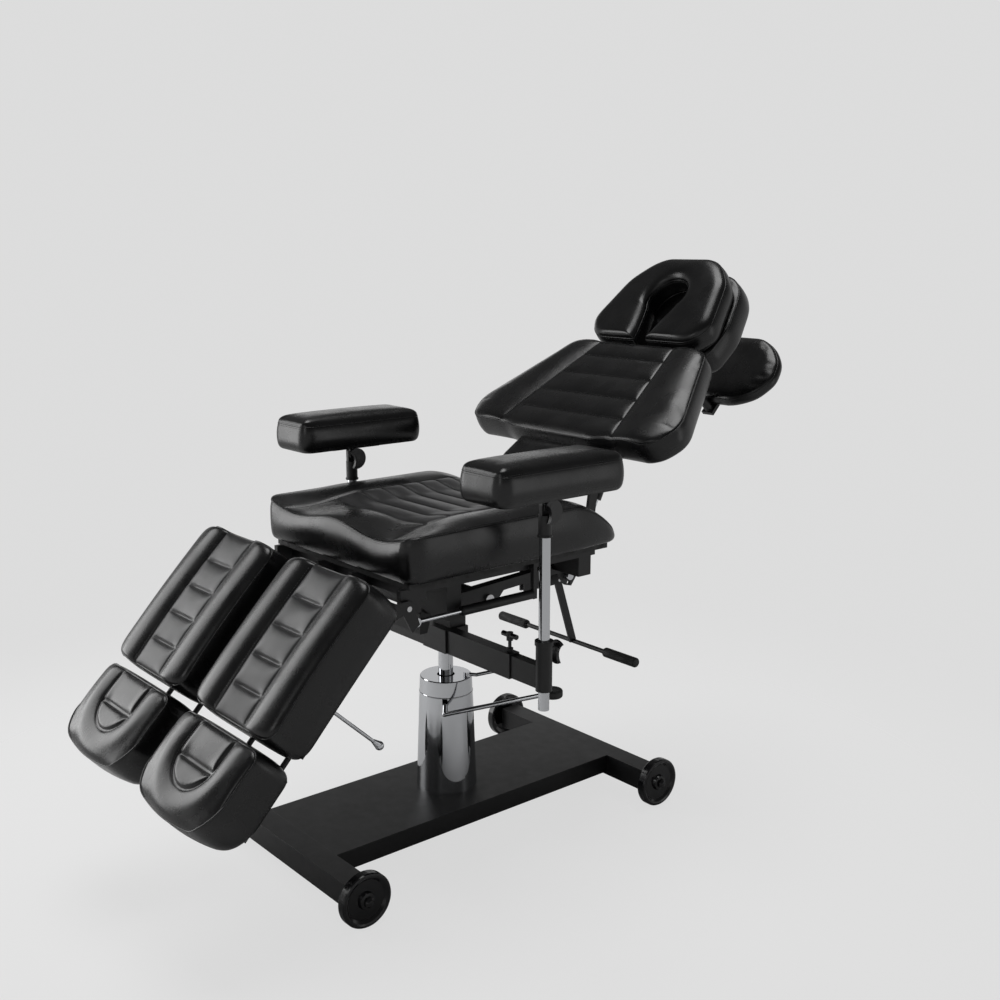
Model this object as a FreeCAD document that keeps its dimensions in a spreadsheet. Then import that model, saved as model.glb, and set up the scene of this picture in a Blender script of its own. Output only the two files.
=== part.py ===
import FreeCAD, Part
import math
import os
import re

import Sketcher

# Tattoo chair on a hydraulic column.
# +Z is up, the sitter faces -Y and +X is the sitter's left.
# The origin is on the floor, on the axis of the lift column. Lengths are millimetres.

# Driving dimensions, by the assembly that they belong to
BASE = {
    "plate_half_width": 147,
    "plate_half_length": 419.5,
    "plate_top": 90,
    "plate_skirt": 46,
    "plate_sheet": 3,
    "bar_half_length": 283,
    "bar_width": 57,
    "bar_height": 55,
    "bar_wall": 2.5,
    "bar_plug": 8,
    "wheel_radius": 61,
    "wheel_width": 24,
    "wheel_gap": 4,
    "wheel_lip": 4,
    "wheel_hub_radius": 16,
    "wheel_cap_reach": 14,
    "axle_radius": 6,
    "axle_length": 21,
}
COLUMN = {
    "shroud_foot_radius": 75,
    "shroud_top_radius": 64,
    "shroud_height": 283,
    "shroud_sheet": 1.5,
    "shroud_lid": 4,
    "shroud_ring": 1,
    "piston_radius": 18,
    "piston_length": 385,
    "piston_foot": 20,
    "pump_radius": 40,
    "pump_flange_radius": 60,
    "pump_flange": 10,
    "stud_radius": 4.5,
    "stud_reach": 15,
    "yoke_height": 227,
    "yoke_width": 12,
    "lever_angle": 50,
    "pedal_rod_radius": 5.5,
    "pedal_radius": 24,
    "pedal_height": 20,
    "pedal_out": 280,
    "pedal_back": 100,
    "pedal_level": 380,
    "lever_bend": 18,
    "lock_out": 48,
    "lock_back": 28,
    "lock_boss_radius": 8,
    "lock_boss_height": 12,
    "lock_rod_radius": 4.5,
    "lock_grip_radius": 6.5,
    "lock_tip_out": 166,
    "lock_tip_back": 120,
    "lock_tip_level": 415,
}
CARRIAGE = {
    "hub_half_width": 45,
    "hub_half_depth": 35,
    "hub_foot": 443,
    "hub_height": 59,
    "hub_lid": 7,
    "neck_half_width": 34,
    "neck_half_depth": 24,
    "tilt_back": 12,
    "tilt_level": 596,
    "tilt_shaft_radius": 8,
    "tilt_shaft_head": 12,
    "tilt_tube_radius": 16,
    "receiver_back": -15,
    "receiver_depth": 30,
    "receiver_end": 276,
    "receiver_wall": 2.5,
    "knob_inset": 16,
    "knob_boss_radius": 8,
    "knob_boss_height": 9,
    "knob_stem_radius": 4,
    "knob_stem_length": 30,
    "knob_bar_radius": 6,
    "knob_bar_half_length": 24,
}
ARMRESTS = {
    "slider_depth": 24,
    "slider_start": 150,
    "slider_play": 0.5,
    "post_out": 376,
    "post_back": -15,
    "post_foot": 397,
    "post_top": 836,
    "post_radius": 12.5,
    "post_wall": 2,
    "sleeve_radius": 18.5,
    "sleeve_foot": 442,
    "sleeve_length": 116,
    "sleeve_collar": 2.5,
    "clamp_drop": 22,
    "clamp_boss_radius": 8,
    "clamp_boss_reach": 10,
    "clamp_screw_radius": 4,
    "clamp_hub_radius": 9,
    "clamp_hub_length": 9,
    "paddle_radius": 27,
    "paddle_thickness": 8,
    "fitting_radius": 14.5,
    "fitting_foot": 792,
    "fitting_lid": 4,
    "tongue_half_width": 5,
    "tongue_half_depth": 13,
    "arm_tilt_level": 862,
    "arm_pin_radius": 4,
    "arm_ear_thickness": 4,
    "arm_plate_thickness": 5,
    "arm_plate_half_width": 40,
    "arm_plate_half_length": 70,
    "arm_pad_foot": 885,
    "arm_pad_back": -25,
    "arm_pad_width": 148,
    "arm_pad_length": 362,
    "arm_pad_thickness": 85,
    "arm_pad_corner": 26,
    "right_arm_rise": 16,
    "tilt_pin_boss": 3,
}
SEAT = {
    "rail_out": 150,
    "rail_width": 25,
    "rail_front": -186,
    "rail_length": 476,
    "rail_foot": 550,
    "rail_height": 95,
    "front_plate": 6,
    "cross_half_width": 235,
    "front_cross_back": -175,
    "rear_cross_back": 222,
    "cross_depth": 40,
    "front_cross_foot": 600,
    "rear_cross_foot": 630,
    "side_rail_out": 243,
    "side_rail_width": 18,
    "side_rail_height": 20,
    "side_rail_front": -276,
    "side_rail_rear": 268,
    "front_beam_depth": 26,
    "front_beam_height": 30,
    "board_half_width": 270,
    "board_front": -300,
    "board_rear": 282,
    "board_foot": 700,
    "board_thickness": 12,
    "cushion_half_width": 297,
    "cushion_front": -318,
    "cushion_rear": 332,
    "cushion_thickness": 100,
    "cushion_corner": 38,
    "seat_hollow_radius": 1450,
    "seat_hollow_depth": 16,
    "handle_out": 30,
    "handle_back": 342,
    "handle_level": 560,
    "handle_drop": 179,
    "handle_sweep": 58,
    "handle_bar_half_length": 258,
    "handle_bar_radius": 6,
    "handle_arm_thickness": 8,
    "handle_arm_width": 20,
    "handle_pin_radius": 5,
    "handle_ear_thickness": 6,
    "grip_radius": 9.5,
    "grip_length": 108,
}
LEGS = {
    "leg_back": -300,
    "leg_level": 660,
    "leg_angle": 46.9,
    "leg_pin_radius": 6,
    "lug_thickness": 14,
    "lug_reach": 16,
    "inner_lug_out": 62,
    "outer_lug_out": 247,
    "leg_plate_thickness": 6,
    "leg_plate_gap": 3,
    "leg_plate_length": 372,
    "leg_plate_height": 60,
    "crank_reach": 45,
    "calf_middle": 190,
    "calf_half_width": 159,
    "calf_start": 26.6,
    "calf_length": 361,
    "calf_seat": 66.3,
    "calf_thickness": 108,
    "calf_corner": 28,
    "calf_board_half_width": 128,
    "calf_board_margin": 12,
    "calf_board_thickness": 12,
    "guide_out": 70,
    "guide_half_width": 10,
    "guide_height": 24,
    "guide_start": 60,
    "guide_length": 310,
    "foot_rod_radius": 6,
    "foot_rod_start": 150,
    "foot_start": 413.6,
    "foot_length": 202,
    "foot_half_width": 152,
    "foot_thickness": 102,
    "foot_corner": 105,
    "foot_bridge_half_width": 95,
    "foot_bridge_length": 24,
    "leg_lever_place": 262,
    "leg_lever_root": 22,
    "leg_lever_length": 150,
    "leg_lever_radius": 4,
    "leg_knob_radius": 10,
    "leg_knob_length": 30,
    "leg_lever_ear": 3,
    "strut_out": 255,
    "strut_level": 623,
    "strut_radius": 11,
    "strut_rod_radius": 5,
    "strut_front": -150,
    "strut_rear": 56,
    "strut_rod_front": -274,
    "strut_rod_length": 190,
    "strut_eye_radius": 10,
}
BACK = {
    "back_pivot_back": 220,
    "back_pivot_level": 640,
    "back_angle": 33,
    "back_pin_radius": 8,
    "back_arm_out": 104,
    "back_arm_thickness": 8,
    "back_arm_length": 600,
    "back_arm_height": 107,
    "back_ear_thickness": 8,
    "back_board_foot": 107,
    "back_board_thickness": 11.7,
    "back_board_half_width": 170,
    "back_pad_foot": 119,
    "back_pad_thickness": 75,
    "back_top": 640,
    "back_tip": 348,
    "back_low": 276,
    "back_top_half_width": 240,
    "back_tip_half_width": 372,
    "back_low_half_width": 322,
    "back_corner": 34,
    "lumbar_pad_half_width": 140,
    "lumbar_pad_start": 170,
    "lumbar_pad_length": 98,
    "lumbar_pad_thickness": 34,
    "lumbar_board_half_width": 110,
    "back_strut_out": 82,
    "back_strut_low_back": 335,
    "back_strut_low_level": 581,
    "back_strut_high_back": 520.7,
    "back_strut_high_level": 946.2,
    "back_strut_radius": 11,
    "back_strut_rod_radius": 5,
    "back_strut_cylinder": 200,
    "back_strut_rod": 310,
    "back_strut_eye": 10,
    "strut_plate_out": 73,
    "strut_plate_thickness": 7,
    "strut_plate_length": 110,
    "strut_plate_height": 150,
    "cheek_slot_roof": 17,
}
HEAD = {
    "head_pivot_back": 705,
    "head_pivot_level": 1052,
    "head_angle": 45.7,
    "head_pin_radius": 6,
    "head_tube_radius": 12,
    "head_tube_half_length": 94,
    "head_plate_foot": -34,
    "head_plate_thickness": 10,
    "head_plate_start": 34,
    "head_plate_length": 262,
    "head_plate_half_width": 120,
    "head_pad_foot": -23,
    "head_pad_thickness": 83.5,
    "head_pad_start": 50,
    "head_pad_length": 280,
    "head_pad_half_width": 208,
    "head_corner": 40,
    "face_pad_foot": 57,
    "face_pad_thickness": 64,
    "face_pad_start": 48,
    "face_pad_length": 284,
    "face_pad_half_width": 212,
    "face_hole_radius": 64,
    "face_hole_place": 196,
    "face_slot_half_width": 24,
    "shelf_place": 229,
    "shelf_foot": -250,
    "shelf_thickness": 41,
    "shelf_half_width": 178,
    "shelf_half_length": 111,
    "shelf_board_thickness": 11,
    "shelf_board_margin": 14,
    "shelf_post_radius": 12,
}
SOFT = {
    "pad_edge": 7,
    "pad_crown": 6,
    "pad_draw": 5,
    "pad_swell": 1.5,
    "groove_radius": 7,
    "groove_depth": 3,
    "soft_gap": 0.3,
}
FITS = {
    "running": 0.05,
    "face_gap": 0.5,
    "overrun": 5,
}

doc = FreeCAD.newDocument("tattoo_chair")
sheet = doc.addObject("Spreadsheet::Sheet", "Sizes")
SIZES = {}
for table in (BASE, COLUMN, CARRIAGE, ARMRESTS, SEAT, LEGS, BACK, HEAD, SOFT, FITS):
    SIZES.update(table)
for row, (alias, value) in enumerate(SIZES.items(), start=1):
    sheet.set(f"A{row}", alias)
    sheet.set(f"B{row}", str(value))
    sheet.setAlias(f"B{row}", alias)
doc.recompute()

SIDES = {"left": 1, "right": -1}
ENDS = {"front": -1, "rear": 1}
EXPRESSION_FUNCTIONS = ("sin", "cos", "tan", "atan", "sqrt", "deg")
nodes = []


def mm(alias):
    """One driving dimension, read from the sheet."""
    return float(sheet.get(alias))


def bound(text):
    """An expression on the sheet's cells, from plain words."""
    def cell(word):
        name = word.group(0)
        return name if name in EXPRESSION_FUNCTIONS else "Sizes." + name
    return re.sub(r"[a-z][a-z_]*", cell, str(text))


def node(thing, label):
    """Name a finished sub-part."""
    thing.Label = label
    nodes.append(thing)
    return thing


def block(name, x, y, z):
    """A box between pairs of low and high expressions."""
    box = doc.addObject("Part::Box", name)
    for side, axis, (low, high) in (("Length", "x", x), ("Width", "y", y), ("Height", "z", z)):
        box.setExpression(side, bound(f"({high}) - ({low})"))
        box.setExpression(f"Placement.Base.{axis}", bound(low))
    return box


AXIS_TURNS = {
    "x": FreeCAD.Rotation(FreeCAD.Vector(0, 1, 0), 90),
    "y": FreeCAD.Rotation(FreeCAD.Vector(1, 0, 0), -90),
    "z": FreeCAD.Rotation(),
}


def rod(name, axis, radius, low, high, **centre):
    """A round bar along one axis; centre gives its two other coordinates."""
    bar = doc.addObject("Part::Cylinder", name)
    bar.setExpression("Radius", bound(radius))
    bar.setExpression("Height", bound(f"({high}) - ({low})"))
    bar.Placement = FreeCAD.Placement(FreeCAD.Vector(), AXIS_TURNS[axis])
    bar.setExpression(f"Placement.Base.{axis}", bound(low))
    for other, place in centre.items():
        bar.setExpression(f"Placement.Base.{other}", bound(place))
    return bar


def outward(out, low, high):
    """A low and high pair on the +X side, or its mirror on the -X side."""
    pair = (f"{out} * ({low})", f"{out} * ({high})")
    return pair if out > 0 else pair[::-1]


def fuse(name, *shapes):
    """One solid from several that meet."""
    whole = doc.addObject("Part::MultiFuse", name)
    whole.Shapes = list(shapes)
    return whole


def cut(name, base, *tools):
    """A solid with other solids taken out of it."""
    tool = tools[0] if len(tools) == 1 else fuse(name + "_tools", *tools)
    rest = doc.addObject("Part::Cut", name)
    rest.Base = base
    rest.Tool = tool
    return rest


def group(name, *shapes):
    """Like pieces kept as separate solids in one node."""
    several = doc.addObject("Part::Compound", name)
    several.Links = list(shapes)
    return several


def origin_plane(body, role):
    return next(plane for plane in body.Origin.OriginFeatures if plane.Role == role)


def outline(body, plane, points):
    """A closed polygon sketch whose corners are bound to the sheet."""
    sketch = body.newObject("Sketcher::SketchObject", body.Name + "_outline")
    sketch.AttachmentSupport = [(origin_plane(body, plane), "")]
    sketch.MapMode = "FlatFace"
    count = len(points)
    turns = [2 * math.pi * k / count for k in range(count)]
    start = [FreeCAD.Vector(math.cos(turn), math.sin(turn), 0) for turn in turns]
    for k in range(count):
        sketch.addGeometry(Part.LineSegment(start[k], start[(k + 1) % count]))
    for k in range(count):
        sketch.addConstraint(Sketcher.Constraint("Coincident", k, 2, (k + 1) % count, 1))
    for k, corner in enumerate(points):
        for kind, text, first in zip(("DistanceX", "DistanceY"), corner, start[k]):
            index = sketch.addConstraint(Sketcher.Constraint(kind, -1, 1, k, 1, first))
            sketch.setExpression(f"Constraints[{index}]", bound(text))
    return sketch


def shared(points, across, up):
    """Corners given as shares of two named sizes."""
    return [(f"{a} * ({across})", f"{b} * ({up})") for a, b in points]


def plate(name, plane, points, thickness):
    """A body of one profile, padded evenly to both sides of its plane."""
    body = doc.addObject("PartDesign::Body", name)
    pad = body.newObject("PartDesign::Pad", name + "_pad")
    pad.Profile = outline(body, plane, points)
    pad.setExpression("Length", bound(thickness))
    pad.Midplane = True
    body.Tip = pad
    return body


def turned(name, points, axis="V_Axis"):
    """A body turned about an axis of its sketch on the XZ plane."""
    body = doc.addObject("PartDesign::Body", name)
    sketch = outline(body, "XZ_Plane", points)
    turn = body.newObject("PartDesign::Revolution", name + "_turn")
    turn.Profile = sketch
    turn.ReferenceAxis = (sketch, [axis])
    turn.Angle = 360
    body.Tip = turn
    return body


def stand(thing, x="0", y="0", z="0", angle=None, axis=(1, 0, 0)):
    """Place a sub-part by expressions: a point and a turn about one axis."""
    if angle is not None:
        thing.Placement = FreeCAD.Placement(
            FreeCAD.Vector(), FreeCAD.Rotation(FreeCAD.Vector(*axis), 1)
        )
        thing.setExpression("Placement.Rotation.Angle", bound(angle))
    for name, text in (("x", x), ("y", y), ("z", z)):
        thing.setExpression(f"Placement.Base.{name}", bound(text))
    return thing


def on_leg(thing):
    """Stand a piece that is drawn about the leg hinge, with the leg along -Y."""
    return stand(thing, y="leg_back", z="leg_level", angle="leg_angle")


def on_back(thing):
    """Stand a piece that is drawn about the back hinge, with the back along +Y."""
    return stand(thing, y="back_pivot_back", z="back_pivot_level", angle="back_angle")


def on_head(thing):
    """Stand a piece that is drawn about the head hinge, with the head along +Y."""
    return stand(thing, y="head_pivot_back", z="head_pivot_level", angle="head_angle")


def made(name, shape):
    """A feature whose shape is worked out here."""
    feature = doc.addObject("Part::Feature", name)
    feature.Shape = shape
    return feature


def vector(x, y, z):
    return FreeCAD.Vector(x, y, z)


# Base: folded plate, two cross bars and four wheels


def base_channel():
    inner = "plate_half_width - plate_sheet"
    skirt = "plate_top - plate_skirt"
    under = "plate_top - plate_sheet"
    points = [
        ("-plate_half_width", skirt),
        ("-plate_half_width", "plate_top"),
        ("plate_half_width", "plate_top"),
        ("plate_half_width", skirt),
        (inner, skirt),
        (inner, under),
        (f"-({inner})", under),
        (f"-({inner})", skirt),
    ]
    node(plate("base_channel", "XZ_Plane", points, "2 * plate_half_length"), "base_channel")


def cross_bars():
    bars = []
    for end, sign in ENDS.items():
        middle = f"{sign} * (plate_half_length + bar_width / 2)"
        foot = "plate_top - bar_height"

        def tube(name, wall, reach):
            return block(
                f"{end}_bar_{name}",
                (f"-({reach})", reach),
                (f"{middle} - bar_width / 2 + {wall}", f"{middle} + bar_width / 2 - {wall}"),
                (f"{foot} + {wall}", f"plate_top - {wall}"),
            )
        outside = tube("outside", "0", "bar_half_length")
        inside = tube("inside", "bar_wall", "bar_half_length + overrun")
        bars.append(cut(f"{end}_bar", outside, inside))
    node(group("bars", *bars), "cross_bars")


def wheel_axles():
    axles = []
    for end, back in ENDS.items():
        for side, out in SIDES.items():
            name = f"{end}_{side}_axle"
            middle = f"{back} * (plate_half_length + bar_width / 2)"
            half = "bar_width / 2 - bar_wall"
            root = "bar_half_length - bar_plug"
            plug = block(
                name + "_plug", outward(out, root, "bar_half_length"),
                (f"{middle} - ({half})", f"{middle} + {half}"),
                ("plate_top - bar_height + bar_wall", "plate_top - bar_wall"))
            spindle = rod(name + "_spindle", "x", "axle_radius",
                          *outward(out, root, "bar_half_length + wheel_gap + axle_length"),
                          y=middle, z="wheel_radius")
            collar = rod(name + "_collar", "x", "axle_radius * 1.8",
                         *outward(out, root, "bar_half_length + wheel_gap - face_gap"),
                         y=middle, z="wheel_radius")
            axles.append(fuse(name, plug, spindle, collar))
    node(group("axles", *axles), "wheel_axles")


def wheels():
    bore = "axle_radius + running"
    depth = "axle_length + face_gap"
    hub = "wheel_hub_radius"
    rim = "wheel_radius"
    points = [
        ("0", bore),
        (depth, bore),
        (depth, "0"),
        ("wheel_width + wheel_cap_reach", "0"),
        ("wheel_width + 0.9 * wheel_cap_reach", f"0.4 * {hub}"),
        ("wheel_width + 0.5 * wheel_cap_reach", f"0.7 * {hub}"),
        ("wheel_width + 0.1 * wheel_cap_reach", f"0.75 * {hub}"),
        ("wheel_width", f"1.1 * {hub}"),
        ("0.72 * wheel_width", f"1.3 * {hub}"),
        ("0.72 * wheel_width", f"{rim} - 4 * wheel_lip"),
        ("wheel_width - 0.4 * wheel_lip", f"{rim} - 2.6 * wheel_lip"),
        ("wheel_width", f"{rim} - 1.6 * wheel_lip"),
        ("wheel_width - 0.3 * wheel_lip", f"{rim} - 0.4 * wheel_lip"),
        ("wheel_width - wheel_lip", rim),
        ("wheel_lip", rim),
        ("0.3 * wheel_lip", f"{rim} - 0.4 * wheel_lip"),
        ("0", f"{rim} - 1.6 * wheel_lip"),
        ("0.25 * wheel_width", f"{rim} - 4 * wheel_lip"),
        ("0.25 * wheel_width", f"1.2 * {hub}"),
        ("0", hub),
    ]
    for end, back in ENDS.items():
        for side, out in SIDES.items():
            wheel = turned(f"{end}_{side}_wheel", points, "H_Axis")
            stand(
                wheel,
                x=f"{out} * (bar_half_length + wheel_gap)",
                y=f"{back} * (plate_half_length + bar_width / 2)",
                z="wheel_radius",
                angle="0" if out > 0 else "180",
                axis=(0, 0, 1),
            )
            node(wheel, f"wheel_{end}_{side}")


# Column: chrome shroud, pump, pedal and swivel lock


def column_shroud():
    foot = "plate_top"
    top = "plate_top + shroud_height"
    wall = "shroud_sheet"
    ring = f"{top} - 0.14 * shroud_height"
    ring_radius = "shroud_top_radius + 0.14 * (shroud_foot_radius - shroud_top_radius)"
    points = [
        ("shroud_foot_radius", foot),
        (f"{ring_radius} + 0.2 * shroud_ring", f"{ring} - 2 * shroud_ring"),
        (f"{ring_radius} + shroud_ring", f"{ring} - shroud_ring"),
        (f"{ring_radius} + shroud_ring", ring),
        (ring_radius, f"{ring} + shroud_ring"),
        ("shroud_top_radius", f"{top} - shroud_lid / 2"),
        ("shroud_top_radius - shroud_lid / 2", top),
        ("piston_radius + shroud_lid", top),
        ("piston_radius + shroud_lid", f"{top} - shroud_lid"),
        (f"shroud_top_radius - {wall}", f"{top} - shroud_lid"),
        (f"shroud_foot_radius - {wall}", foot),
    ]
    shell = turned("shroud_shell", points)
    stud = rod("shroud_stud", "x", "stud_radius", "shroud_top_radius - 2 * shroud_sheet",
               "shroud_top_radius + stud_reach", z=f"{top} - 0.12 * shroud_height")
    stud.Placement = FreeCAD.Placement(
        vector(0, 0, 0), FreeCAD.Rotation(vector(0, 0, 1), -180 + mm("lever_angle"))
    ).multiply(stud.Placement)
    slot = block(
        "yoke_slot",
        ("shroud_top_radius - overrun * 2", "shroud_foot_radius + overrun"),
        ("-yoke_width / 2 - face_gap", "yoke_width / 2 + face_gap"),
        ("plate_top + yoke_height - yoke_width * 1.6", "plate_top + yoke_height + yoke_width * 1.3"),
    )
    turn = FreeCAD.Rotation(vector(0, 0, 1), mm("lever_angle") - 90)
    hollow = doc.addObject("Part::Compound", "yoke_slot_turned")
    hollow.Links = [slot]
    hollow.Placement = FreeCAD.Placement(vector(0, 0, 0), turn)
    return node(cut("shroud", shell, hollow), "column_shroud")


def pump_cylinder():
    top = "plate_top + shroud_height - shroud_lid * 2"
    bore = "piston_radius + running"
    points = [
        (bore, "plate_top + pump_flange"),
        (bore, top),
        ("pump_radius", top),
        ("pump_radius", "plate_top + pump_flange"),
        ("pump_flange_radius", "plate_top + pump_flange"),
        ("pump_flange_radius", "plate_top"),
        ("0", "plate_top"),
        ("0", "plate_top + pump_flange"),
    ]
    node(turned("pump", points), "pump_cylinder")


def lift_piston():
    foot = "plate_top + piston_foot"
    top = "plate_top + piston_foot + piston_length"
    edge = "0.1 * piston_radius"
    points = [
        ("0", foot),
        (f"piston_radius - {edge}", foot),
        ("piston_radius", f"{foot} + {edge}"),
        ("piston_radius", f"{top} - {edge}"),
        (f"piston_radius - {edge}", top),
        ("0", top),
    ]
    node(turned("piston", points), "lift_piston")


def bent_bar(points, radius):
    """A round bar along straight runs, with a ball at each bend."""
    pieces = []
    for start, end in zip(points, points[1:]):
        run = end - start
        pieces.append(Part.makeCylinder(radius, run.Length, start, run))
    for bend in points[1:-1]:
        pieces.append(Part.makeSphere(radius, bend))
    return pieces[0].multiFuse(pieces[1:]).removeSplitter()


def round_column(distance, level, angle=None):
    """A point around the column at the pedal's direction."""
    turn = math.radians(mm("lever_angle") if angle is None else angle)
    return vector(distance * math.sin(turn), -distance * math.cos(turn), level)


def pump_lever():
    level = mm("plate_top") + mm("yoke_height")
    wall = mm("shroud_top_radius")
    drop = 0.2 * wall
    tip = vector(mm("pedal_out"), mm("pedal_back"), mm("pedal_level"))
    knee = round_column(1.5 * wall, level - drop)
    elbow = round_column(1.78 * wall, level, mm("lever_angle") + mm("lever_bend"))
    inside = round_column(0.78 * wall, level)
    root = round_column(1.2 * wall, level)
    bar = bent_bar([inside, root, knee, elbow, tip], mm("pedal_rod_radius"))
    yoke = Part.makeCylinder(mm("yoke_width") / 2, 0.36 * wall, inside, root - inside)
    node(made("pedal_lever", bar.fuse(yoke).removeSplitter()), "pump_lever")
    drum = Part.makeCylinder(mm("pedal_radius"), mm("pedal_height"),
                             vector(tip.x, tip.y, tip.z - mm("pedal_height") / 2))
    rims = [edge for edge in drum.Edges if edge.Length > 4 * mm("pedal_radius")]
    drum = drum.makeFillet(0.3 * mm("pedal_height"), rims)
    grip = drum.cut(bar)
    node(made("pedal", max(grip.Solids, key=lambda solid: solid.Volume)), "pedal_pad")


def swivel_lock():
    base = mm("plate_top") + mm("shroud_height")
    foot = vector(mm("lock_out"), mm("lock_back"), base)
    boss = Part.makeCylinder(mm("lock_boss_radius"), mm("lock_boss_height"), foot)
    root = foot + vector(0, 0, mm("lock_boss_height") / 2)
    tip = vector(mm("lock_tip_out"), mm("lock_tip_back"), mm("lock_tip_level"))
    rim = root + vector(tip.x - root.x, tip.y - root.y, 0) * 0.16
    run = tip - rim
    bar = bent_bar([root, rim, tip], mm("lock_rod_radius"))
    node(made("lock_bar", boss.fuse(bar).removeSplitter()), "swivel_lock_lever")
    start = rim + run * 0.48
    length = run.Length * 0.52 + mm("lock_grip_radius")
    sheath = Part.makeCylinder(mm("lock_grip_radius"), length, start, run)
    core = Part.makeCylinder(mm("lock_rod_radius") + mm("running"), run.Length, rim, run)
    node(made("lock_sheath", sheath.cut(core)), "swivel_lock_grip")


# Carriage: the head that turns on the piston, with the armrest receivers


def swivel_head():
    top = "hub_foot + hub_height"
    hub = block("hub", ("-hub_half_width", "hub_half_width"), ("-hub_half_depth", "hub_half_depth"),
                ("hub_foot", top))
    neck = block("neck", ("-neck_half_width", "neck_half_width"),
                 ("tilt_back - neck_half_depth", "tilt_back + neck_half_depth"),
                 (top, "tilt_level"))
    bearing = rod("tilt_bearing", "x", "tilt_tube_radius", "-(rail_out - rail_width - face_gap)",
                  "rail_out - rail_width - face_gap", y="tilt_back", z="tilt_level")
    solids = [hub, neck, bearing]
    hollows = [
        rod("piston_socket", "z", "piston_radius + running", "hub_foot - overrun",
            "hub_foot + hub_height - hub_lid", x="0", y="0"),
        rod("tilt_bore", "x", "tilt_shaft_radius + running", "-rail_out", "rail_out",
            y="tilt_back", z="tilt_level"),
    ]
    for side, out in SIDES.items():
        half = "receiver_depth / 2"
        solids.append(block(
            f"{side}_receiver", outward(out, "hub_half_width", "receiver_end"),
            (f"receiver_back - {half}", f"receiver_back + {half}"), ("hub_foot", top)))
        hollows.append(block(
            f"{side}_receiver_bore", outward(out, "hub_half_width + receiver_wall", "receiver_end + overrun"),
            (f"receiver_back - {half} + receiver_wall", f"receiver_back + {half} - receiver_wall"),
            ("hub_foot + receiver_wall", f"{top} - receiver_wall")))
        place = f"{out} * (receiver_end - knob_inset)"
        solids.append(rod(f"{side}_knob_boss", "z", "knob_boss_radius", f"{top} - receiver_wall",
                          f"{top} + knob_boss_height", x=place, y="receiver_back"))
        hollows.append(rod(f"{side}_knob_hole", "z", "knob_stem_radius + running",
                           f"{top} - 2 * receiver_wall", f"{top} + knob_boss_height + overrun",
                           x=place, y="receiver_back"))
    node(cut("head", fuse("head_solid", *solids), *hollows), "swivel_head")


def tilt_shaft():
    shaft = rod("tilt_pin", "x", "tilt_shaft_radius", "-(rail_out + tilt_shaft_radius)",
                "rail_out + tilt_shaft_radius", y="tilt_back", z="tilt_level")
    heads = [
        rod(f"{side}_tilt_head", "x", "tilt_shaft_head",
            *outward(out, "rail_out + face_gap", "rail_out + tilt_shaft_radius"),
            y="tilt_back", z="tilt_level")
        for side, out in SIDES.items()
    ]
    node(fuse("tilt_shaft_whole", shaft, *heads), "tilt_shaft")


def slide_knob(side, out):
    """The T screw that pinches an armrest slider in its receiver."""
    x = f"{out} * (receiver_end - knob_inset)"
    top = "hub_foot + hub_height"
    foot = f"{top} - receiver_wall - slider_play"
    tip = f"{top} + knob_boss_height + knob_stem_length"
    stem = rod(f"{side}_knob_stem", "z", "knob_stem_radius", f"{foot} + face_gap", tip,
               x=x, y="receiver_back")
    bar = rod(f"{side}_knob_bar", "x", "knob_bar_radius", f"{x} - knob_bar_half_length",
              f"{x} + knob_bar_half_length", y="receiver_back", z=tip)
    hub = rod(f"{side}_knob_hub", "z", "knob_bar_radius * 1.3", f"{tip} - knob_bar_radius * 2",
              f"{tip} + knob_bar_radius * 1.2", x=x, y="receiver_back")
    node(fuse(f"{side}_knob", stem, bar, hub), f"slide_knob_{side}")


# Armrests


def armrest_slider(side, out):
    middle = "hub_foot + hub_height / 2"
    half = "hub_height / 2 - receiver_wall - slider_play"
    ends = (f"{out} * slider_start", f"{out} * post_out")
    bar = block(
        f"{side}_slider_bar", ends if out > 0 else ends[::-1],
        ("receiver_back - slider_depth / 2", "receiver_back + slider_depth / 2"),
        (f"{middle} - ({half})", f"{middle} + {half}"))
    x = f"{out} * post_out"
    top = "sleeve_foot + sleeve_length"
    sleeve = rod(f"{side}_sleeve", "z", "sleeve_radius", "sleeve_foot", top, x=x, y="post_back")
    collar = rod(f"{side}_sleeve_collar", "z", "sleeve_radius + sleeve_collar",
                 f"{top} - 4 * sleeve_collar", top, x=x, y="post_back")
    boss = rod(f"{side}_clamp_boss", "y", "clamp_boss_radius", "post_back",
               "post_back + sleeve_radius + clamp_boss_reach", x=x, z=f"{top} - clamp_drop")
    bore = rod(f"{side}_sleeve_bore", "z", "post_radius + running", "sleeve_foot - overrun",
               f"{top} + overrun", x=x, y="post_back")
    thread = rod(f"{side}_clamp_thread", "y", "clamp_screw_radius + running", "post_back",
                 "post_back + sleeve_radius + clamp_boss_reach + overrun", x=x, z=f"{top} - clamp_drop")
    solid = fuse(f"{side}_slider_solid", bar, sleeve, collar, boss)
    node(cut(f"{side}_slider", solid, bore, thread), f"armrest_slider_{side}")


def paddle(radius, thickness):
    """A crescent clamp paddle about the Y axis, hanging below its hub."""
    disc = Part.makeCylinder(radius, thickness, vector(0, 0, -0.45 * radius), vector(0, 1, 0))
    bite = Part.makeCylinder(1.1 * radius, 3 * thickness, vector(1.25 * radius, -thickness, -0.7 * radius),
                             vector(0, 1, 0))
    return disc.cut(bite)


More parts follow.
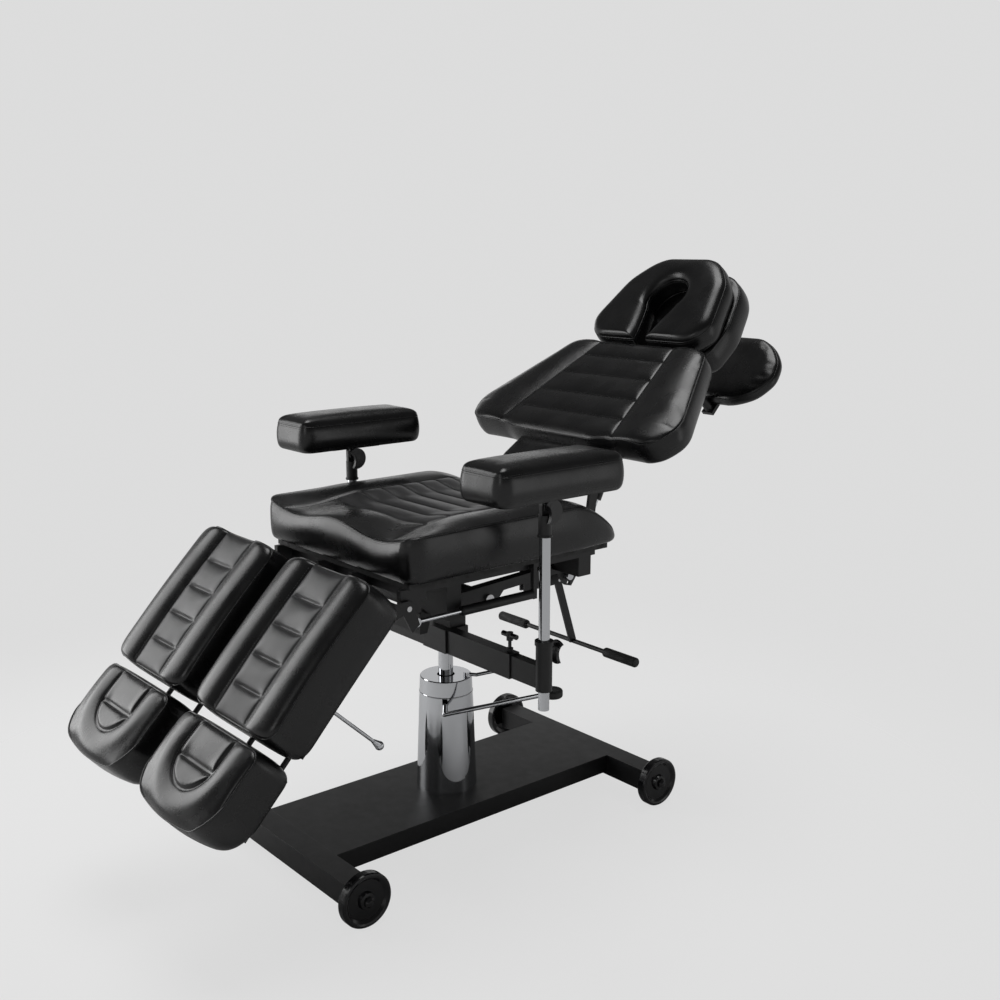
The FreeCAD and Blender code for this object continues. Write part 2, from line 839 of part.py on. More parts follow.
def clamp_lever(screw_inside):
    """A clamp screw along Y with its hub and paddle; the screw's tip is inside the boss."""
    screw = Part.makeCylinder(mm("clamp_screw_radius"), screw_inside + mm("clamp_hub_length"),
                              vector(0, -screw_inside, 0), vector(0, 1, 0))
    hub = Part.makeCylinder(mm("clamp_hub_radius"), mm("clamp_hub_length") + mm("paddle_thickness") / 2,
                            vector(0, mm("face_gap"), 0), vector(0, 1, 0))
    wing = paddle(mm("paddle_radius"), mm("paddle_thickness"))
    wing.translate(vector(0, mm("clamp_hub_length") - mm("paddle_thickness") / 2, 0))
    return screw.multiFuse([hub, wing]).removeSplitter()


def post_clamp(side, out):
    top = mm("sleeve_foot") + mm("sleeve_length")
    wall = mm("sleeve_radius") - mm("post_radius")
    inside = mm("clamp_boss_reach") + wall - mm("face_gap")
    lever = made(f"{side}_post_clamp", clamp_lever(inside))
    face = mm("post_back") + mm("sleeve_radius") + mm("clamp_boss_reach")
    lever.Placement = FreeCAD.Placement(vector(out * mm("post_out"), face, top - mm("clamp_drop")),
                                        FreeCAD.Rotation())
    node(lever, f"post_clamp_{side}")


def risen(side, level):
    """The level of a piece on an armrest's post: the right arm is set a little higher."""
    return level if side == "left" else f"({level}) + right_arm_rise"


def armrest_post(side, out):
    x = f"{out} * post_out"
    tube = rod(f"{side}_post_tube", "z", "post_radius", risen(side, "post_foot"), risen(side, "post_top"),
               x=x, y="post_back")
    bore = rod(f"{side}_post_bore", "z", "post_radius - post_wall", risen(side, "post_foot - overrun"),
               risen(side, "post_top + overrun"), x=x, y="post_back")
    node(cut(f"{side}_post", tube, bore), f"armrest_post_{side}")


def armrest_head(side, out):
    """The fitting that turns on the post and carries the pad's tilt pin."""
    x = f"{out} * post_out"
    foot = risen(side, "fitting_foot")
    roof = risen(side, "post_top + face_gap")
    level = risen(side, "arm_tilt_level")
    barrel = rod(f"{side}_fitting_barrel", "z", "fitting_radius", foot, f"{roof} + fitting_lid",
                 x=x, y="post_back")
    ring = rod(f"{side}_fitting_ring", "z", "fitting_radius + fitting_lid / 2", foot,
               f"{foot} + fitting_lid", x=x, y="post_back")
    tongue = block(
        f"{side}_fitting_tongue",
        (f"{x} - tongue_half_width", f"{x} + tongue_half_width"),
        ("post_back - tongue_half_depth", "post_back + tongue_half_depth"),
        (roof, level))
    crown = rod(f"{side}_fitting_crown", "x", "tongue_half_depth", f"{x} - tongue_half_width",
                f"{x} + tongue_half_width", y="post_back", z=level)
    bore = rod(f"{side}_fitting_bore", "z", "post_radius + running", f"{foot} - overrun",
               roof, x=x, y="post_back")
    pin_hole = rod(f"{side}_fitting_hole", "x", "arm_pin_radius + running", f"{x} - fitting_radius",
                   f"{x} + fitting_radius", y="post_back", z=level)
    solid = fuse(f"{side}_fitting_solid", barrel, ring, tongue, crown)
    node(cut(f"{side}_fitting", solid, bore, pin_hole), f"armrest_head_{side}")


def armrest_plate(side, out):
    """The tilting plate under a pad, with two ears and their pin."""
    x = f"{out} * post_out"
    top = risen(side, "arm_pad_foot - soft_gap")
    level = risen(side, "arm_tilt_level")
    sheet_part = block(
        f"{side}_arm_sheet",
        (f"{x} - arm_plate_half_width", f"{x} + arm_plate_half_width"),
        ("arm_pad_back - arm_plate_half_length", "arm_pad_back + arm_plate_half_length"),
        (f"{top} - arm_plate_thickness", top))
    ears = []
    for word, sign in (("plus", 1), ("minus", -1)):
        near = f"{x} + {sign} * (tongue_half_width + face_gap)"
        far = f"{x} + {sign} * (tongue_half_width + face_gap + arm_ear_thickness)"
        ends = (near, far) if sign > 0 else (far, near)
        ears.append(block(
            f"{side}_ear_{word}", ends,
            ("post_back - tongue_half_depth * 0.8", "post_back + tongue_half_depth * 0.8"),
            (f"{level} - tongue_half_depth * 0.8", f"{top} - arm_plate_thickness")))
    pin = rod(f"{side}_arm_pin", "x", "arm_pin_radius",
              f"{x} - tongue_half_width - face_gap - arm_ear_thickness",
              f"{x} + tongue_half_width + face_gap + arm_ear_thickness + tilt_pin_boss",
              y="post_back", z=level)
    node(fuse(f"{side}_arm_plate", sheet_part, pin, *ears), f"armrest_plate_{side}")


def tilt_clamp(side, out):
    lever = made(f"{side}_tilt_clamp", clamp_lever(0))
    face = (out * mm("post_out") + mm("tongue_half_width") + 2 * mm("face_gap")
            + mm("arm_ear_thickness") + mm("tilt_pin_boss"))
    level = mm("arm_tilt_level") + (mm("right_arm_rise") if side == "right" else 0)
    lever.Placement = FreeCAD.Placement(vector(face, mm("post_back"), level),
                                        FreeCAD.Rotation(vector(0, 0, 1), -90))
    node(lever, f"tilt_clamp_{side}")


# Soft pads


# A low degree keeps a loft from swinging past its levels
LOFT_DEGREE = 2


def drawn_outline(corners, radius, draw, level):
    """A closed wire round a convex plan: tangent corner arcs and sides that bow inwards."""
    count = len(corners)
    middle = sum((vector(x, y, 0) for x, y in corners), vector(0, 0, 0)) * (1 / count)
    points = [vector(x, y, 0) for x, y in corners]
    arcs = []
    for k in range(count):
        here = points[k]
        before = (points[k - 1] - here).normalize()
        after = (points[(k + 1) % count] - here).normalize()
        half = before.getAngle(after) / 2
        reach = min(radius / math.tan(half), 0.45 * (points[k - 1] - here).Length,
                    0.45 * (points[(k + 1) % count] - here).Length)
        bisector = (before + after).normalize()
        true_radius = reach * math.tan(half)
        apex = here + bisector * (true_radius / math.sin(half) - true_radius)
        arcs.append((here + before * reach, apex, here + after * reach))
    lift = vector(0, 0, level)
    edges = []
    for k in range(count):
        start, apex, end = arcs[k]
        edges.append(Part.Arc(start + lift, apex + lift, end + lift).toShape())
        following = arcs[(k + 1) % count][0]
        centre = (end + following) * 0.5
        inward = (middle - centre).normalize() * draw
        edges.append(Part.Arc(end + lift, centre + inward + lift, following + lift).toShape())
    return Part.Wire(edges)


def inset_corners(corners, inset):
    """The same plan with each corner drawn towards the middle along both its sides."""
    count = len(corners)
    result = []
    for k in range(count):
        here = vector(*corners[k], 0)
        before = (vector(*corners[k - 1], 0) - here).normalize()
        after = (vector(*corners[(k + 1) % count], 0) - here).normalize()
        half = before.getAngle(after) / 2
        moved = here + (before + after).normalize() * (inset / math.sin(half))
        result.append((moved.x, moved.y))
    return result


# Each level of a pad: share of its thickness, inset in edge widths, share of the crown
PAD_LEVEL_SHARES = (
    (0.0, 0.9, 0.0),
    (0.1, 0.25, 0.0),
    (0.35, 0.0, 0.0),
    (0.7, 0.05, 0.0),
    (0.9, 0.55, 0.0),
    (1.0, 2.0, 0.0),
    (1.0, 5.0, 0.75),
    (1.0, 8.5, 1.0),
)


def pad_form(corners, thickness, corner_radius, edge=None, crown=None, lean=None, foot=0, draw=None):
    """A crowned pad on a convex plan, whose sides are drawn in, or swell where draw is below zero."""
    edge = mm("pad_edge") if edge is None else edge
    crown = mm("pad_crown") if crown is None else crown
    draw = mm("pad_draw") if draw is None else draw
    wires = []
    for height, inset, rise in PAD_LEVEL_SHARES:
        level = height * thickness + rise * crown
        plan = inset_corners(corners, inset * edge)
        if lean is not None:
            plan = [lean(x, y, level / (thickness + crown)) for x, y in plan]
        wires.append(drawn_outline(plan, corner_radius, draw, foot + level))
    return Part.makeLoft(wires, True, False, False, LOFT_DEGREE)


def grooves_across(half_length, places, level, middle=0):
    """Sewn channels along X at each place along Y."""
    radius = mm("groove_radius")
    lift = level + radius - mm("groove_depth")
    return [
        Part.makeCylinder(radius, 2 * half_length, vector(middle - half_length, place, lift), vector(1, 0, 0))
        for place in places
    ]


def grooves_along(out, start, end, level, middle=0):
    """Two sewn seams along Y, at both sides."""
    radius = mm("groove_radius")
    lift = level + radius - mm("groove_depth")
    return [
        Part.makeCylinder(radius, end - start, vector(middle + sign * out, start, lift), vector(0, 1, 0))
        for sign in (1, -1)
    ]


def carve(solid, tools):
    """The pad without its channels, as one solid."""
    rest = solid.cut(tools)
    return max(rest.Solids, key=lambda piece: piece.Volume)


def oblong(half_width, start, end, middle=0):
    low, high = middle - half_width, middle + half_width
    return [(low, start), (high, start), (high, end), (low, end)]


def armrest_pad(side, out):
    half = mm("arm_pad_length") / 2
    plan = oblong(mm("arm_pad_width") / 2, -half, half)
    pad = made(f"{side}_arm_cushion", pad_form(plan, mm("arm_pad_thickness"), mm("arm_pad_corner")))
    stand(pad, x=f"{out} * post_out", y="arm_pad_back", z=risen(side, "arm_pad_foot"))
    node(pad, f"armrest_pad_{side}")


# Seat: welded frame, board and cushion


RAIL_SHARES = (
    (0.0, 0.0),
    (0.0, 0.51),
    (0.053, 0.73),
    (1.0, 1.0),
    (1.0, 0.76),
    (0.517, 0.62),
    (0.45, 0.25),
    (0.385, 0.25),
    (0.37, 0.3),
    (0.06, 0.3),
    (0.042, 0.0),
)
STRUT_PLATE_SHARES = (
    (0.0, 0.6),
    (0.0, 0.93),
    (0.35, 0.6),
    (1.0, 0.33),
    (1.0, 0.17),
    (0.82, 0.0),
    (0.62, 0.04),
)


def mirrored(name, make, place):
    """The same body made twice, at +X and at -X."""
    bodies = []
    for side, out in SIDES.items():
        body = make(f"{name}_{side}")
        stand(body, **place(out))
        bodies.append(body)
    return bodies


def seat_frame():
    rails = mirrored(
        "rail",
        lambda name: plate(name, "YZ_Plane", shared(RAIL_SHARES, "rail_length", "rail_height"), "rail_width"),
        lambda out: {"x": f"{out} * (rail_out - rail_width / 2)", "y": "rail_front", "z": "rail_foot"})
    rail_inside = "rail_out - rail_width"
    strut_plates = mirrored(
        "strut_plate",
        lambda name: plate(name, "YZ_Plane",
                           shared(STRUT_PLATE_SHARES, "strut_plate_length", "strut_plate_height"),
                           "strut_plate_thickness"),
        lambda out: {"x": f"{out} * (strut_plate_out - strut_plate_thickness / 2)",
                     "y": "rear_cross_back + cross_depth - face_gap", "z": "board_foot - strut_plate_height"})
    parts = rails + strut_plates + [
        block("front_plate_sheet", (f"-({rail_inside})", rail_inside),
              ("rail_front", "rail_front + front_plate"), ("rail_foot", "rail_foot + 0.5 * rail_height")),
        block("front_cross", ("-cross_half_width", "cross_half_width"),
              ("front_cross_back", "front_cross_back + cross_depth"),
              ("front_cross_foot", "board_foot")),
        block("rear_cross", ("-cross_half_width", "cross_half_width"),
              ("rear_cross_back", "rear_cross_back + cross_depth"),
              ("rear_cross_foot", "board_foot")),
        block("front_beam", ("-(outer_lug_out + lug_thickness)", "outer_lug_out + lug_thickness"),
              ("side_rail_front", "side_rail_front + front_beam_depth"),
              ("board_foot - front_beam_height", "board_foot")),
    ]
    holes = [
        rod("tilt_rail_hole", "x", "tilt_shaft_radius + running", "-(rail_out + overrun)",
            "rail_out + overrun", y="tilt_back", z="tilt_level"),
        rod("leg_pin_hole", "x", "leg_pin_radius + running", "-(outer_lug_out + 2 * lug_thickness)",
            "outer_lug_out + 2 * lug_thickness", y="leg_back", z="leg_level"),
        rod("handle_pin_hole", "x", "handle_pin_radius + running", "-rail_out", "rail_out",
            y="handle_back", z="handle_level"),
    ]
    for side, out in SIDES.items():
        parts.append(block(
            f"{side}_side_rail", outward(out, "side_rail_out - side_rail_width", "side_rail_out"),
            ("side_rail_front", "side_rail_rear"), ("board_foot - side_rail_height", "board_foot")))
        for word, lug_out in (("inner", "inner_lug_out"), ("outer", "outer_lug_out")):
            parts.append(block(
                f"{side}_{word}_lug", outward(out, lug_out, f"{lug_out} + lug_thickness"),
                ("leg_back - lug_reach", "side_rail_front + front_beam_depth / 2"),
                ("leg_level - lug_reach", "board_foot")))
        parts.append(block(
            f"{side}_strut_hanger",
            outward(out, "strut_out - strut_radius / 2", "strut_out + strut_radius / 2"),
            ("strut_rear", "strut_rear + strut_radius"), ("strut_level - strut_radius", "board_foot")))
        parts.append(block(
            f"{side}_strut_shelf",
            outward(out, "side_rail_out - side_rail_width", "strut_out + strut_radius / 2"),
            ("strut_rear", "strut_rear + strut_radius"),
            ("board_foot - side_rail_height", "board_foot")))
        ear_in = "back_arm_out + face_gap"
        parts.append(block(
            f"{side}_back_ear", outward(out, ear_in, f"{ear_in} + back_ear_thickness"),
            ("back_pivot_back - 2 * back_pin_radius", "rear_cross_back + cross_depth"),
            ("back_pivot_level - 2 * back_pin_radius", "rear_cross_foot + cross_depth / 2")))
        holes.append(block(
            f"{side}_cheek_slot", outward(out, "back_arm_out - back_arm_thickness - face_gap", ear_in),
            ("rear_cross_back - overrun", "rear_cross_back + cross_depth + overrun"),
            ("rear_cross_foot - overrun", "board_foot - cheek_slot_roof")))
    holes.append(rod("back_pin_hole", "x", "back_pin_radius + running", "-rail_out", "rail_out",
                     y="back_pivot_back", z="back_pivot_level"))
    rear = "rear_cross_back + cross_depth"
    for word, sign in (("plus", 1), ("minus", -1)):
        gap = "handle_arm_thickness / 2 + face_gap"
        near = f"handle_out + {sign} * ({gap})"
        far = f"handle_out + {sign} * ({gap} + handle_ear_thickness)"
        ends = (near, far) if sign > 0 else (far, near)
        parts.append(block(
            f"handle_ear_{word}", ends,
            (f"{rear} - cross_depth", "handle_back + 2 * handle_pin_radius"),
            ("handle_level - 2 * handle_pin_radius", "rear_cross_foot + cross_depth / 2")))
    node(cut("frame", fuse("frame_solid", *parts), *holes), "seat_frame")


def hinge_pins():
    """The leg, back and handle pins, all held in the seat frame."""
    pins = []
    play = "face_gap"
    for side, out in SIDES.items():
        for word, lug_out in (("inner", "inner_lug_out"), ("outer", "outer_lug_out")):
            pins.append(rod(
                f"{side}_{word}_leg_pin", "x", "leg_pin_radius",
                *outward(out, f"{lug_out} - leg_plate_gap",
                       f"{lug_out} + lug_thickness + leg_plate_gap + leg_plate_thickness + {play}"),
                y="leg_back", z="leg_level"))
        pins.append(rod(
            f"{side}_back_pin", "x", "back_pin_radius",
            *outward(out, "back_arm_out - back_arm_thickness - face_gap",
                   "back_arm_out + back_ear_thickness + 2 * face_gap"),
            y="back_pivot_back", z="back_pivot_level"))
    half = "handle_arm_thickness / 2 + handle_ear_thickness + 2 * face_gap"
    pins.append(rod("handle_pin", "x", "handle_pin_radius", f"handle_out - ({half})",
                    f"handle_out + {half}", y="handle_back", z="handle_level"))
    node(group("pins", *pins), "hinge_pins")


def seat_board():
    node(block("board", ("-board_half_width", "board_half_width"), ("board_front", "board_rear"),
               ("board_foot", "board_foot + board_thickness")), "seat_board")


# How far the seat's rear edge has moved forward at each share of its height
REAR_LEAN_SHARES = (0.0, 0.03, 0.12, 0.3, 0.6, 1.0)


def seat_cushion():
    front = mm("cushion_front")
    rear = mm("cushion_rear")
    length = rear - front
    lean_reach = 1.3 * mm("cushion_thickness")

    def lean(x, y, height):
        step = height * (len(REAR_LEAN_SHARES) - 1)
        low = min(int(step), len(REAR_LEAN_SHARES) - 2)
        share = REAR_LEAN_SHARES[low] + (step - low) * (REAR_LEAN_SHARES[low + 1] - REAR_LEAN_SHARES[low])
        if y < (front + rear) / 2:
            return x, y
        return x * (1 - 0.12 * share), y - share * lean_reach

    plan = oblong(mm("cushion_half_width"), front, rear)
    solid = pad_form(plan, mm("cushion_thickness"), mm("cushion_corner"),
                     crown=2 * mm("pad_crown"), lean=lean)
    top = mm("cushion_thickness") + 2 * mm("pad_crown")
    radius = mm("seat_hollow_radius")
    level = top - mm("seat_hollow_depth")
    start = vector(0, front - length / 2, level + radius)
    hollow = Part.makeCylinder(radius, 2 * length, start, vector(0, 1, 0))
    places = [front + share * length for share in (0.4, 0.49, 0.58, 0.67, 0.76)]
    tools = [hollow] + grooves_across(0.36 * mm("cushion_half_width"), places, level)
    pad = made("seat_pad", carve(solid, tools))
    stand(pad, z="board_foot + board_thickness + soft_gap")
    node(pad, "seat_cushion")


def recline_handle():
    run = "sqrt(handle_drop * handle_drop + handle_sweep * handle_sweep)"
    half = "handle_arm_width / 2"
    points = [
        (f"-({half})", f"-({run})"),
        (half, f"-({run})"),
        (half, half),
        (f"-({half})", half),
    ]
    arm = plate("handle_arm", "YZ_Plane", points, "handle_arm_thickness")
    arm_hole = rod("handle_arm_hole", "x", "handle_pin_radius + running", "-handle_arm_width",
                   "handle_arm_width", y="0", z="0")
    blade = cut("handle_blade", arm, arm_hole)
    stand(blade, x="handle_out", y="handle_back", z="handle_level",
          angle="atan(handle_sweep / handle_drop)")
    bar = rod("handle_bar", "x", "handle_bar_radius", "-handle_bar_half_length", "handle_bar_half_length",
              y="handle_back + handle_sweep", z="handle_level - handle_drop")
    node(fuse("handle", blade, bar), "recline_handle")
    grips = []
    for side, out in SIDES.items():
        low = f"{out} * (handle_bar_half_length - grip_length)"
        high = f"{out} * (handle_bar_half_length + grip_radius / 2)"
        ends = (low, high) if out > 0 else (high, low)
        sheath = rod(f"{side}_grip_sheath", "x", "grip_radius", *ends,
                     y="handle_back + handle_sweep", z="handle_level - handle_drop")
        core = rod(f"{side}_grip_core", "x", "handle_bar_radius + running",
                   "-handle_bar_half_length - face_gap", "handle_bar_half_length + face_gap",
                   y="handle_back + handle_sweep", z="handle_level - handle_drop")
        grips.append(cut(f"{side}_grip", sheath, core))
    node(group("grips", *grips), "handle_grips")


def leg_struts():
    cylinders = []
    for side, out in SIDES.items():
        x = f"{out} * strut_out"
        body = rod(f"{side}_strut_body", "y", "strut_radius", "strut_front", "strut_rear",
                   x=x, z="strut_level")
        bore = rod(f"{side}_strut_bore", "y", "strut_rod_radius + running", "strut_front - overrun",
                   "strut_rear - strut_radius", x=x, z="strut_level")
        cylinders.append(cut(f"{side}_strut", body, bore))
        tip = "strut_rod_front"
        eye_ends = (f"{x} - 0.7 * strut_eye_radius", f"{x} + 0.7 * strut_eye_radius")
        shaft = rod(f"{side}_strut_shaft", "y", "strut_rod_radius", f"{tip} + 0.8 * strut_eye_radius",
                    f"{tip} + strut_rod_length",
                    x=x, z="strut_level")
        eye = rod(f"{side}_strut_eye", "x", "strut_eye_radius", *eye_ends, y=tip, z="strut_level")
        hole = rod(f"{side}_strut_hole", "x", "strut_rod_radius + running",
                   f"{x} - strut_radius", f"{x} + strut_radius", y=tip, z="strut_level")
        solid = fuse(f"{side}_strut_rod_solid", shaft, eye)
        node(cut(f"{side}_strut_rod", solid, hole), f"leg_strut_rod_{side}")
    node(group("strut_cylinders", *cylinders), "leg_strut_cylinders")


# Legs, drawn about their hinge with the leg along -Y


LEG_PLATE_SHARES = (
    (0.037, -0.23),
    (0.037, 0.2),
    (-0.01, 0.47),
    (-0.11, 0.9),
    (-1.0, 0.9),
    (-1.0, 0.66),
    (-0.2, 0.66),
    (-0.09, 0.2),
)
CRANK_SHARES = (
    (-0.3, 0.35),
    (0.35, 0.1),
    (-0.22, -1.02),
    (-0.76, -0.92),
)


def leg_frame(side, out):
    middle = f"{out} * calf_middle"
    board_start = "calf_start + calf_board_margin"
    board_end = "calf_start + calf_length - calf_board_margin"
    top = "calf_seat - soft_gap"
    foot = f"{top} - calf_board_thickness"
    board = block(
        f"{side}_calf_board",
        (f"{middle} - calf_board_half_width", f"{middle} + calf_board_half_width"),
        (f"-({board_end})", f"-({board_start})"), (foot, top))
    parts = [board]
    gap = "lug_thickness + leg_plate_gap + leg_plate_thickness / 2"
    for word, lug_out in (("inner", "inner_lug_out"), ("outer", "outer_lug_out")):
        cheek = plate(f"{side}_{word}_cheek", "YZ_Plane",
                      shared(LEG_PLATE_SHARES, "leg_plate_length", "leg_plate_height"), "leg_plate_thickness")
        stand(cheek, x=f"{out} * ({lug_out} + {gap})")
        parts.append(cheek)
    crank = plate(f"{side}_crank", "YZ_Plane", shared(CRANK_SHARES, "crank_reach", "crank_reach"),
                  "leg_plate_thickness")
    stand(crank, x=f"{out} * (outer_lug_out + {gap})")
    parts.append(crank)
    hollows = [rod(f"{side}_leg_hole", "x", "leg_pin_radius + running",
                   f"{middle} - 2 * calf_middle", f"{middle} + 2 * calf_middle", y="0", z="0")]
    for word, sign in (("plus", 1), ("minus", -1)):
        x = f"{middle} + {sign} * guide_out"
        parts.append(block(
            f"{side}_guide_{word}", (f"{x} - guide_half_width", f"{x} + guide_half_width"),
            ("-(guide_start + guide_length)", "-guide_start"), (f"{foot} - guide_height", foot)))
        hollows.append(rod(
            f"{side}_guide_bore_{word}", "y", "foot_rod_radius + running",
            "-(guide_start + guide_length + overrun)", "-(guide_start - overrun)",
            x=x, z=f"{foot} - guide_height / 2"))
    lever_x = f"{middle} + {out} * guide_out"
    for word, sign in (("plus", 1), ("minus", -1)):
        near = f"{lever_x} + {sign} * guide_half_width"
        far = f"{lever_x} + {sign} * (guide_half_width - leg_lever_ear)"
        ends = (far, near) if sign > 0 else (near, far)
        parts.append(block(
            f"{side}_lever_ear_{word}", ends,
            ("-(leg_lever_place + 2 * leg_lever_radius)", "-(leg_lever_place - 2 * leg_lever_radius)"),
            ("leg_lever_root - 2 * leg_lever_radius", f"{foot} - guide_height")))
    frame = cut(f"{side}_leg", fuse(f"{side}_leg_solid", *parts), *hollows)
    node(on_leg(frame), f"leg_frame_{side}")


def leg_lever(side, out):
    """The foot slide's clamp lever, hanging square to the leg, with a drop-shaped knob."""
    x = out * (mm("calf_middle") + mm("guide_out"))
    y = -mm("leg_lever_place")
    root = mm("leg_lever_root")
    half = mm("guide_half_width") - mm("leg_lever_ear") - mm("face_gap")
    barrel = Part.makeCylinder(1.5 * mm("leg_lever_radius"), 2 * half,
                               vector(x - half, y, root), vector(1, 0, 0))
    shaft = Part.makeCylinder(mm("leg_lever_radius"), mm("leg_lever_length"),
                              vector(x, y, root), vector(0, 0, -1))
    low = root - mm("leg_lever_length")
    knob = Part.makeCone(mm("leg_lever_radius") * 1.2, mm("leg_knob_radius"), 0.7 * mm("leg_knob_length"),
                         vector(x, y, low + 0.3 * mm("leg_knob_length")), vector(0, 0, -1))
    ball = Part.makeSphere(mm("leg_knob_radius"), vector(x, y, low - 0.4 * mm("leg_knob_length")))
    lever = made(f"{side}_leg_lever", barrel.multiFuse([shaft, knob, ball]).removeSplitter())
    node(on_leg(lever), f"leg_lever_{side}")


def calf_pad(side, out):
    middle = out * mm("calf_middle")
    start = -mm("calf_start")
    end = start - mm("calf_length")
    foot = mm("calf_seat")
    crown = 2 * mm("pad_crown")
    plan = oblong(mm("calf_half_width"), end, start, middle)
    solid = pad_form(plan, mm("calf_thickness"), mm("calf_corner"), crown=crown, foot=foot)
    level = foot + mm("calf_thickness") + crown
    panel = 0.385 * mm("calf_half_width")
    places = [start - share * mm("calf_length") for share in (0.22, 0.415, 0.615, 0.81)]
    tools = grooves_across(panel, places, level, middle) + grooves_along(panel, end, start, level, middle)
    node(on_leg(made(f"{side}_calf_cushion", carve(solid, tools))), f"calf_pad_{side}")


def foot_slide(side, out):
    middle = f"{out} * calf_middle"
    top = "calf_seat - soft_gap"
    foot = f"{top} - calf_board_thickness"
    rod_level = f"{foot} - guide_height / 2"
    start = "foot_start + calf_board_margin"
    parts = [
        block(f"{side}_foot_board",
              (f"{middle} - foot_half_width + 2.5 * calf_board_margin",
               f"{middle} + foot_half_width - 2.5 * calf_board_margin"),
              (f"-(foot_start + foot_length - foot_corner / 2)", f"-({start})"), (foot, top)),
        block(f"{side}_foot_bridge",
              (f"{middle} - foot_bridge_half_width", f"{middle} + foot_bridge_half_width"),
              (f"-({start} + foot_bridge_length)", f"-({start})"), (f"{foot} - guide_height", foot)),
    ]
    for word, sign in (("plus", 1), ("minus", -1)):
        parts.append(rod(f"{side}_foot_rod_{word}", "y", "foot_rod_radius",
                         f"-({start} + foot_bridge_length / 2)", "-foot_rod_start",
                         x=f"{middle} + {sign} * guide_out", z=rod_level))
    node(on_leg(fuse(f"{side}_foot", *parts)), f"foot_slide_{side}")


def foot_pad(side, out):
    middle = out * mm("calf_middle")
    start = -mm("foot_start")
    end = start - mm("foot_length")
    foot = mm("calf_seat")
    crown = 2 * mm("pad_crown")
    wide = mm("foot_half_width")
    corner = mm("foot_corner")
    half_plan = [
        (wide - corner, end),
        (wide - 0.42 * corner, end + 0.16 * corner),
        (wide - 0.09 * corner, end + 0.52 * corner),
        (wide, start),
    ]
    plan = [(middle + x, y) for x, y in half_plan]
    plan += [(middle - x, y) for x, y in reversed(half_plan)]
    solid = pad_form(plan, mm("foot_thickness"), 0.3 * corner, crown=crown, foot=foot, draw=-mm("pad_swell"))
    level = foot + mm("foot_thickness") + crown
    panel = 0.42 * wide
    tools = grooves_across(panel, [start - 0.4 * mm("foot_length")], level, middle)
    tools += grooves_along(panel, start - 0.55 * mm("foot_length"), start, level, middle)
    node(on_leg(made(f"{side}_foot_cushion", carve(solid, tools))), f"foot_pad_{side}")


# Back, drawn about its hinge with the back along +Y


BACK_ARM_SHARES = (
    (-0.007, -0.17),
    (0.167, -0.935),
    (0.233, -0.916),
    (0.37, 0.0),
    (0.483, 0.617),
    (0.55, 0.776),
    (1.02, 0.6),
    (1.08, 0.64),
    (1.08, 0.87),
    (1.0, 1.0),
    (0.53, 1.0),
    (0.45, 0.88),
    (0.327, 0.11),
    (0.197, -0.67),
    (0.173, -0.73),
    (0.023, 0.07),
    (-0.003, 0.17),
    (-0.027, 0.056),
)


def back_frame():
    cheeks = mirrored(
        "back_cheek",
        lambda name: plate(name, "YZ_Plane", shared(BACK_ARM_SHARES, "back_arm_length", "back_arm_height"),
                           "back_arm_thickness"),
        lambda out: {"x": f"{out} * (back_arm_out - back_arm_thickness / 2)"})
    top = "back_board_foot + back_board_thickness"
    board = block("back_board", ("-back_board_half_width", "back_board_half_width"),
                  ("back_low + back_corner", "back_top - back_corner"), ("back_board_foot", top))
    tongue = block("lumbar_board", ("-lumbar_board_half_width", "lumbar_board_half_width"),
                   ("lumbar_pad_start + pad_edge", "back_low + 2 * back_corner"), ("back_board_foot", top))
    tie = rod("back_tie", "x", "strut_radius", "-(back_arm_out - back_arm_thickness / 2)",
              "back_arm_out - back_arm_thickness / 2", y="0.9 * back_arm_length", z="0.85 * back_arm_height")
    holes = [
        rod("back_hinge_hole", "x", "back_pin_radius + running", "-rail_out", "rail_out", y="0", z="0"),
        rod("head_hinge_hole", "x", "head_pin_radius + running", "-rail_out", "rail_out",
            y="(head_pivot_back - back_pivot_back) * cos(back_angle * 1 deg)"
              " + (head_pivot_level - back_pivot_level) * sin(back_angle * 1 deg)",
            z="(head_pivot_level - back_pivot_level) * cos(back_angle * 1 deg)"
              " - (head_pivot_back - back_pivot_back) * sin(back_angle * 1 deg)"),
    ]
    node(on_back(cut("back_arms", fuse("back_solid", board, tongue, tie, *cheeks), *holes)), "back_frame")


def back_pad():
    plan = [
        (-mm("back_low_half_width"), mm("back_low")),
        (mm("back_low_half_width"), mm("back_low")),
        (mm("back_tip_half_width"), mm("back_tip")),
        (mm("back_top_half_width"), mm("back_top")),
        (-mm("back_top_half_width"), mm("back_top")),
        (-mm("back_tip_half_width"), mm("back_tip")),
    ]
    foot = mm("back_pad_foot")
    solid = pad_form(plan, mm("back_pad_thickness"), mm("back_corner"), foot=foot)
    level = foot + mm("back_pad_thickness") + mm("pad_crown")
    length = mm("back_top") - mm("back_low")
    panel = 0.42 * mm("back_tip_half_width")
    places = [mm("back_low") + share * length for share in (0.2, 0.4, 0.6, 0.8)]
    tools = grooves_across(panel, places, level)
    tools += grooves_along(panel, mm("back_low"), mm("back_top"), level)
    node(on_back(made("back_cushion", carve(solid, tools))), "back_pad")


def lumbar_pad():
    start = mm("lumbar_pad_start")
    plan = oblong(mm("lumbar_pad_half_width"), start, start + mm("lumbar_pad_length"))
    shape = pad_form(plan, mm("lumbar_pad_thickness"), mm("back_corner"), edge=0.5 * mm("pad_edge"),
                     foot=mm("back_pad_foot"))
    node(on_back(made("lumbar_cushion", shape)), "lumbar_pad")


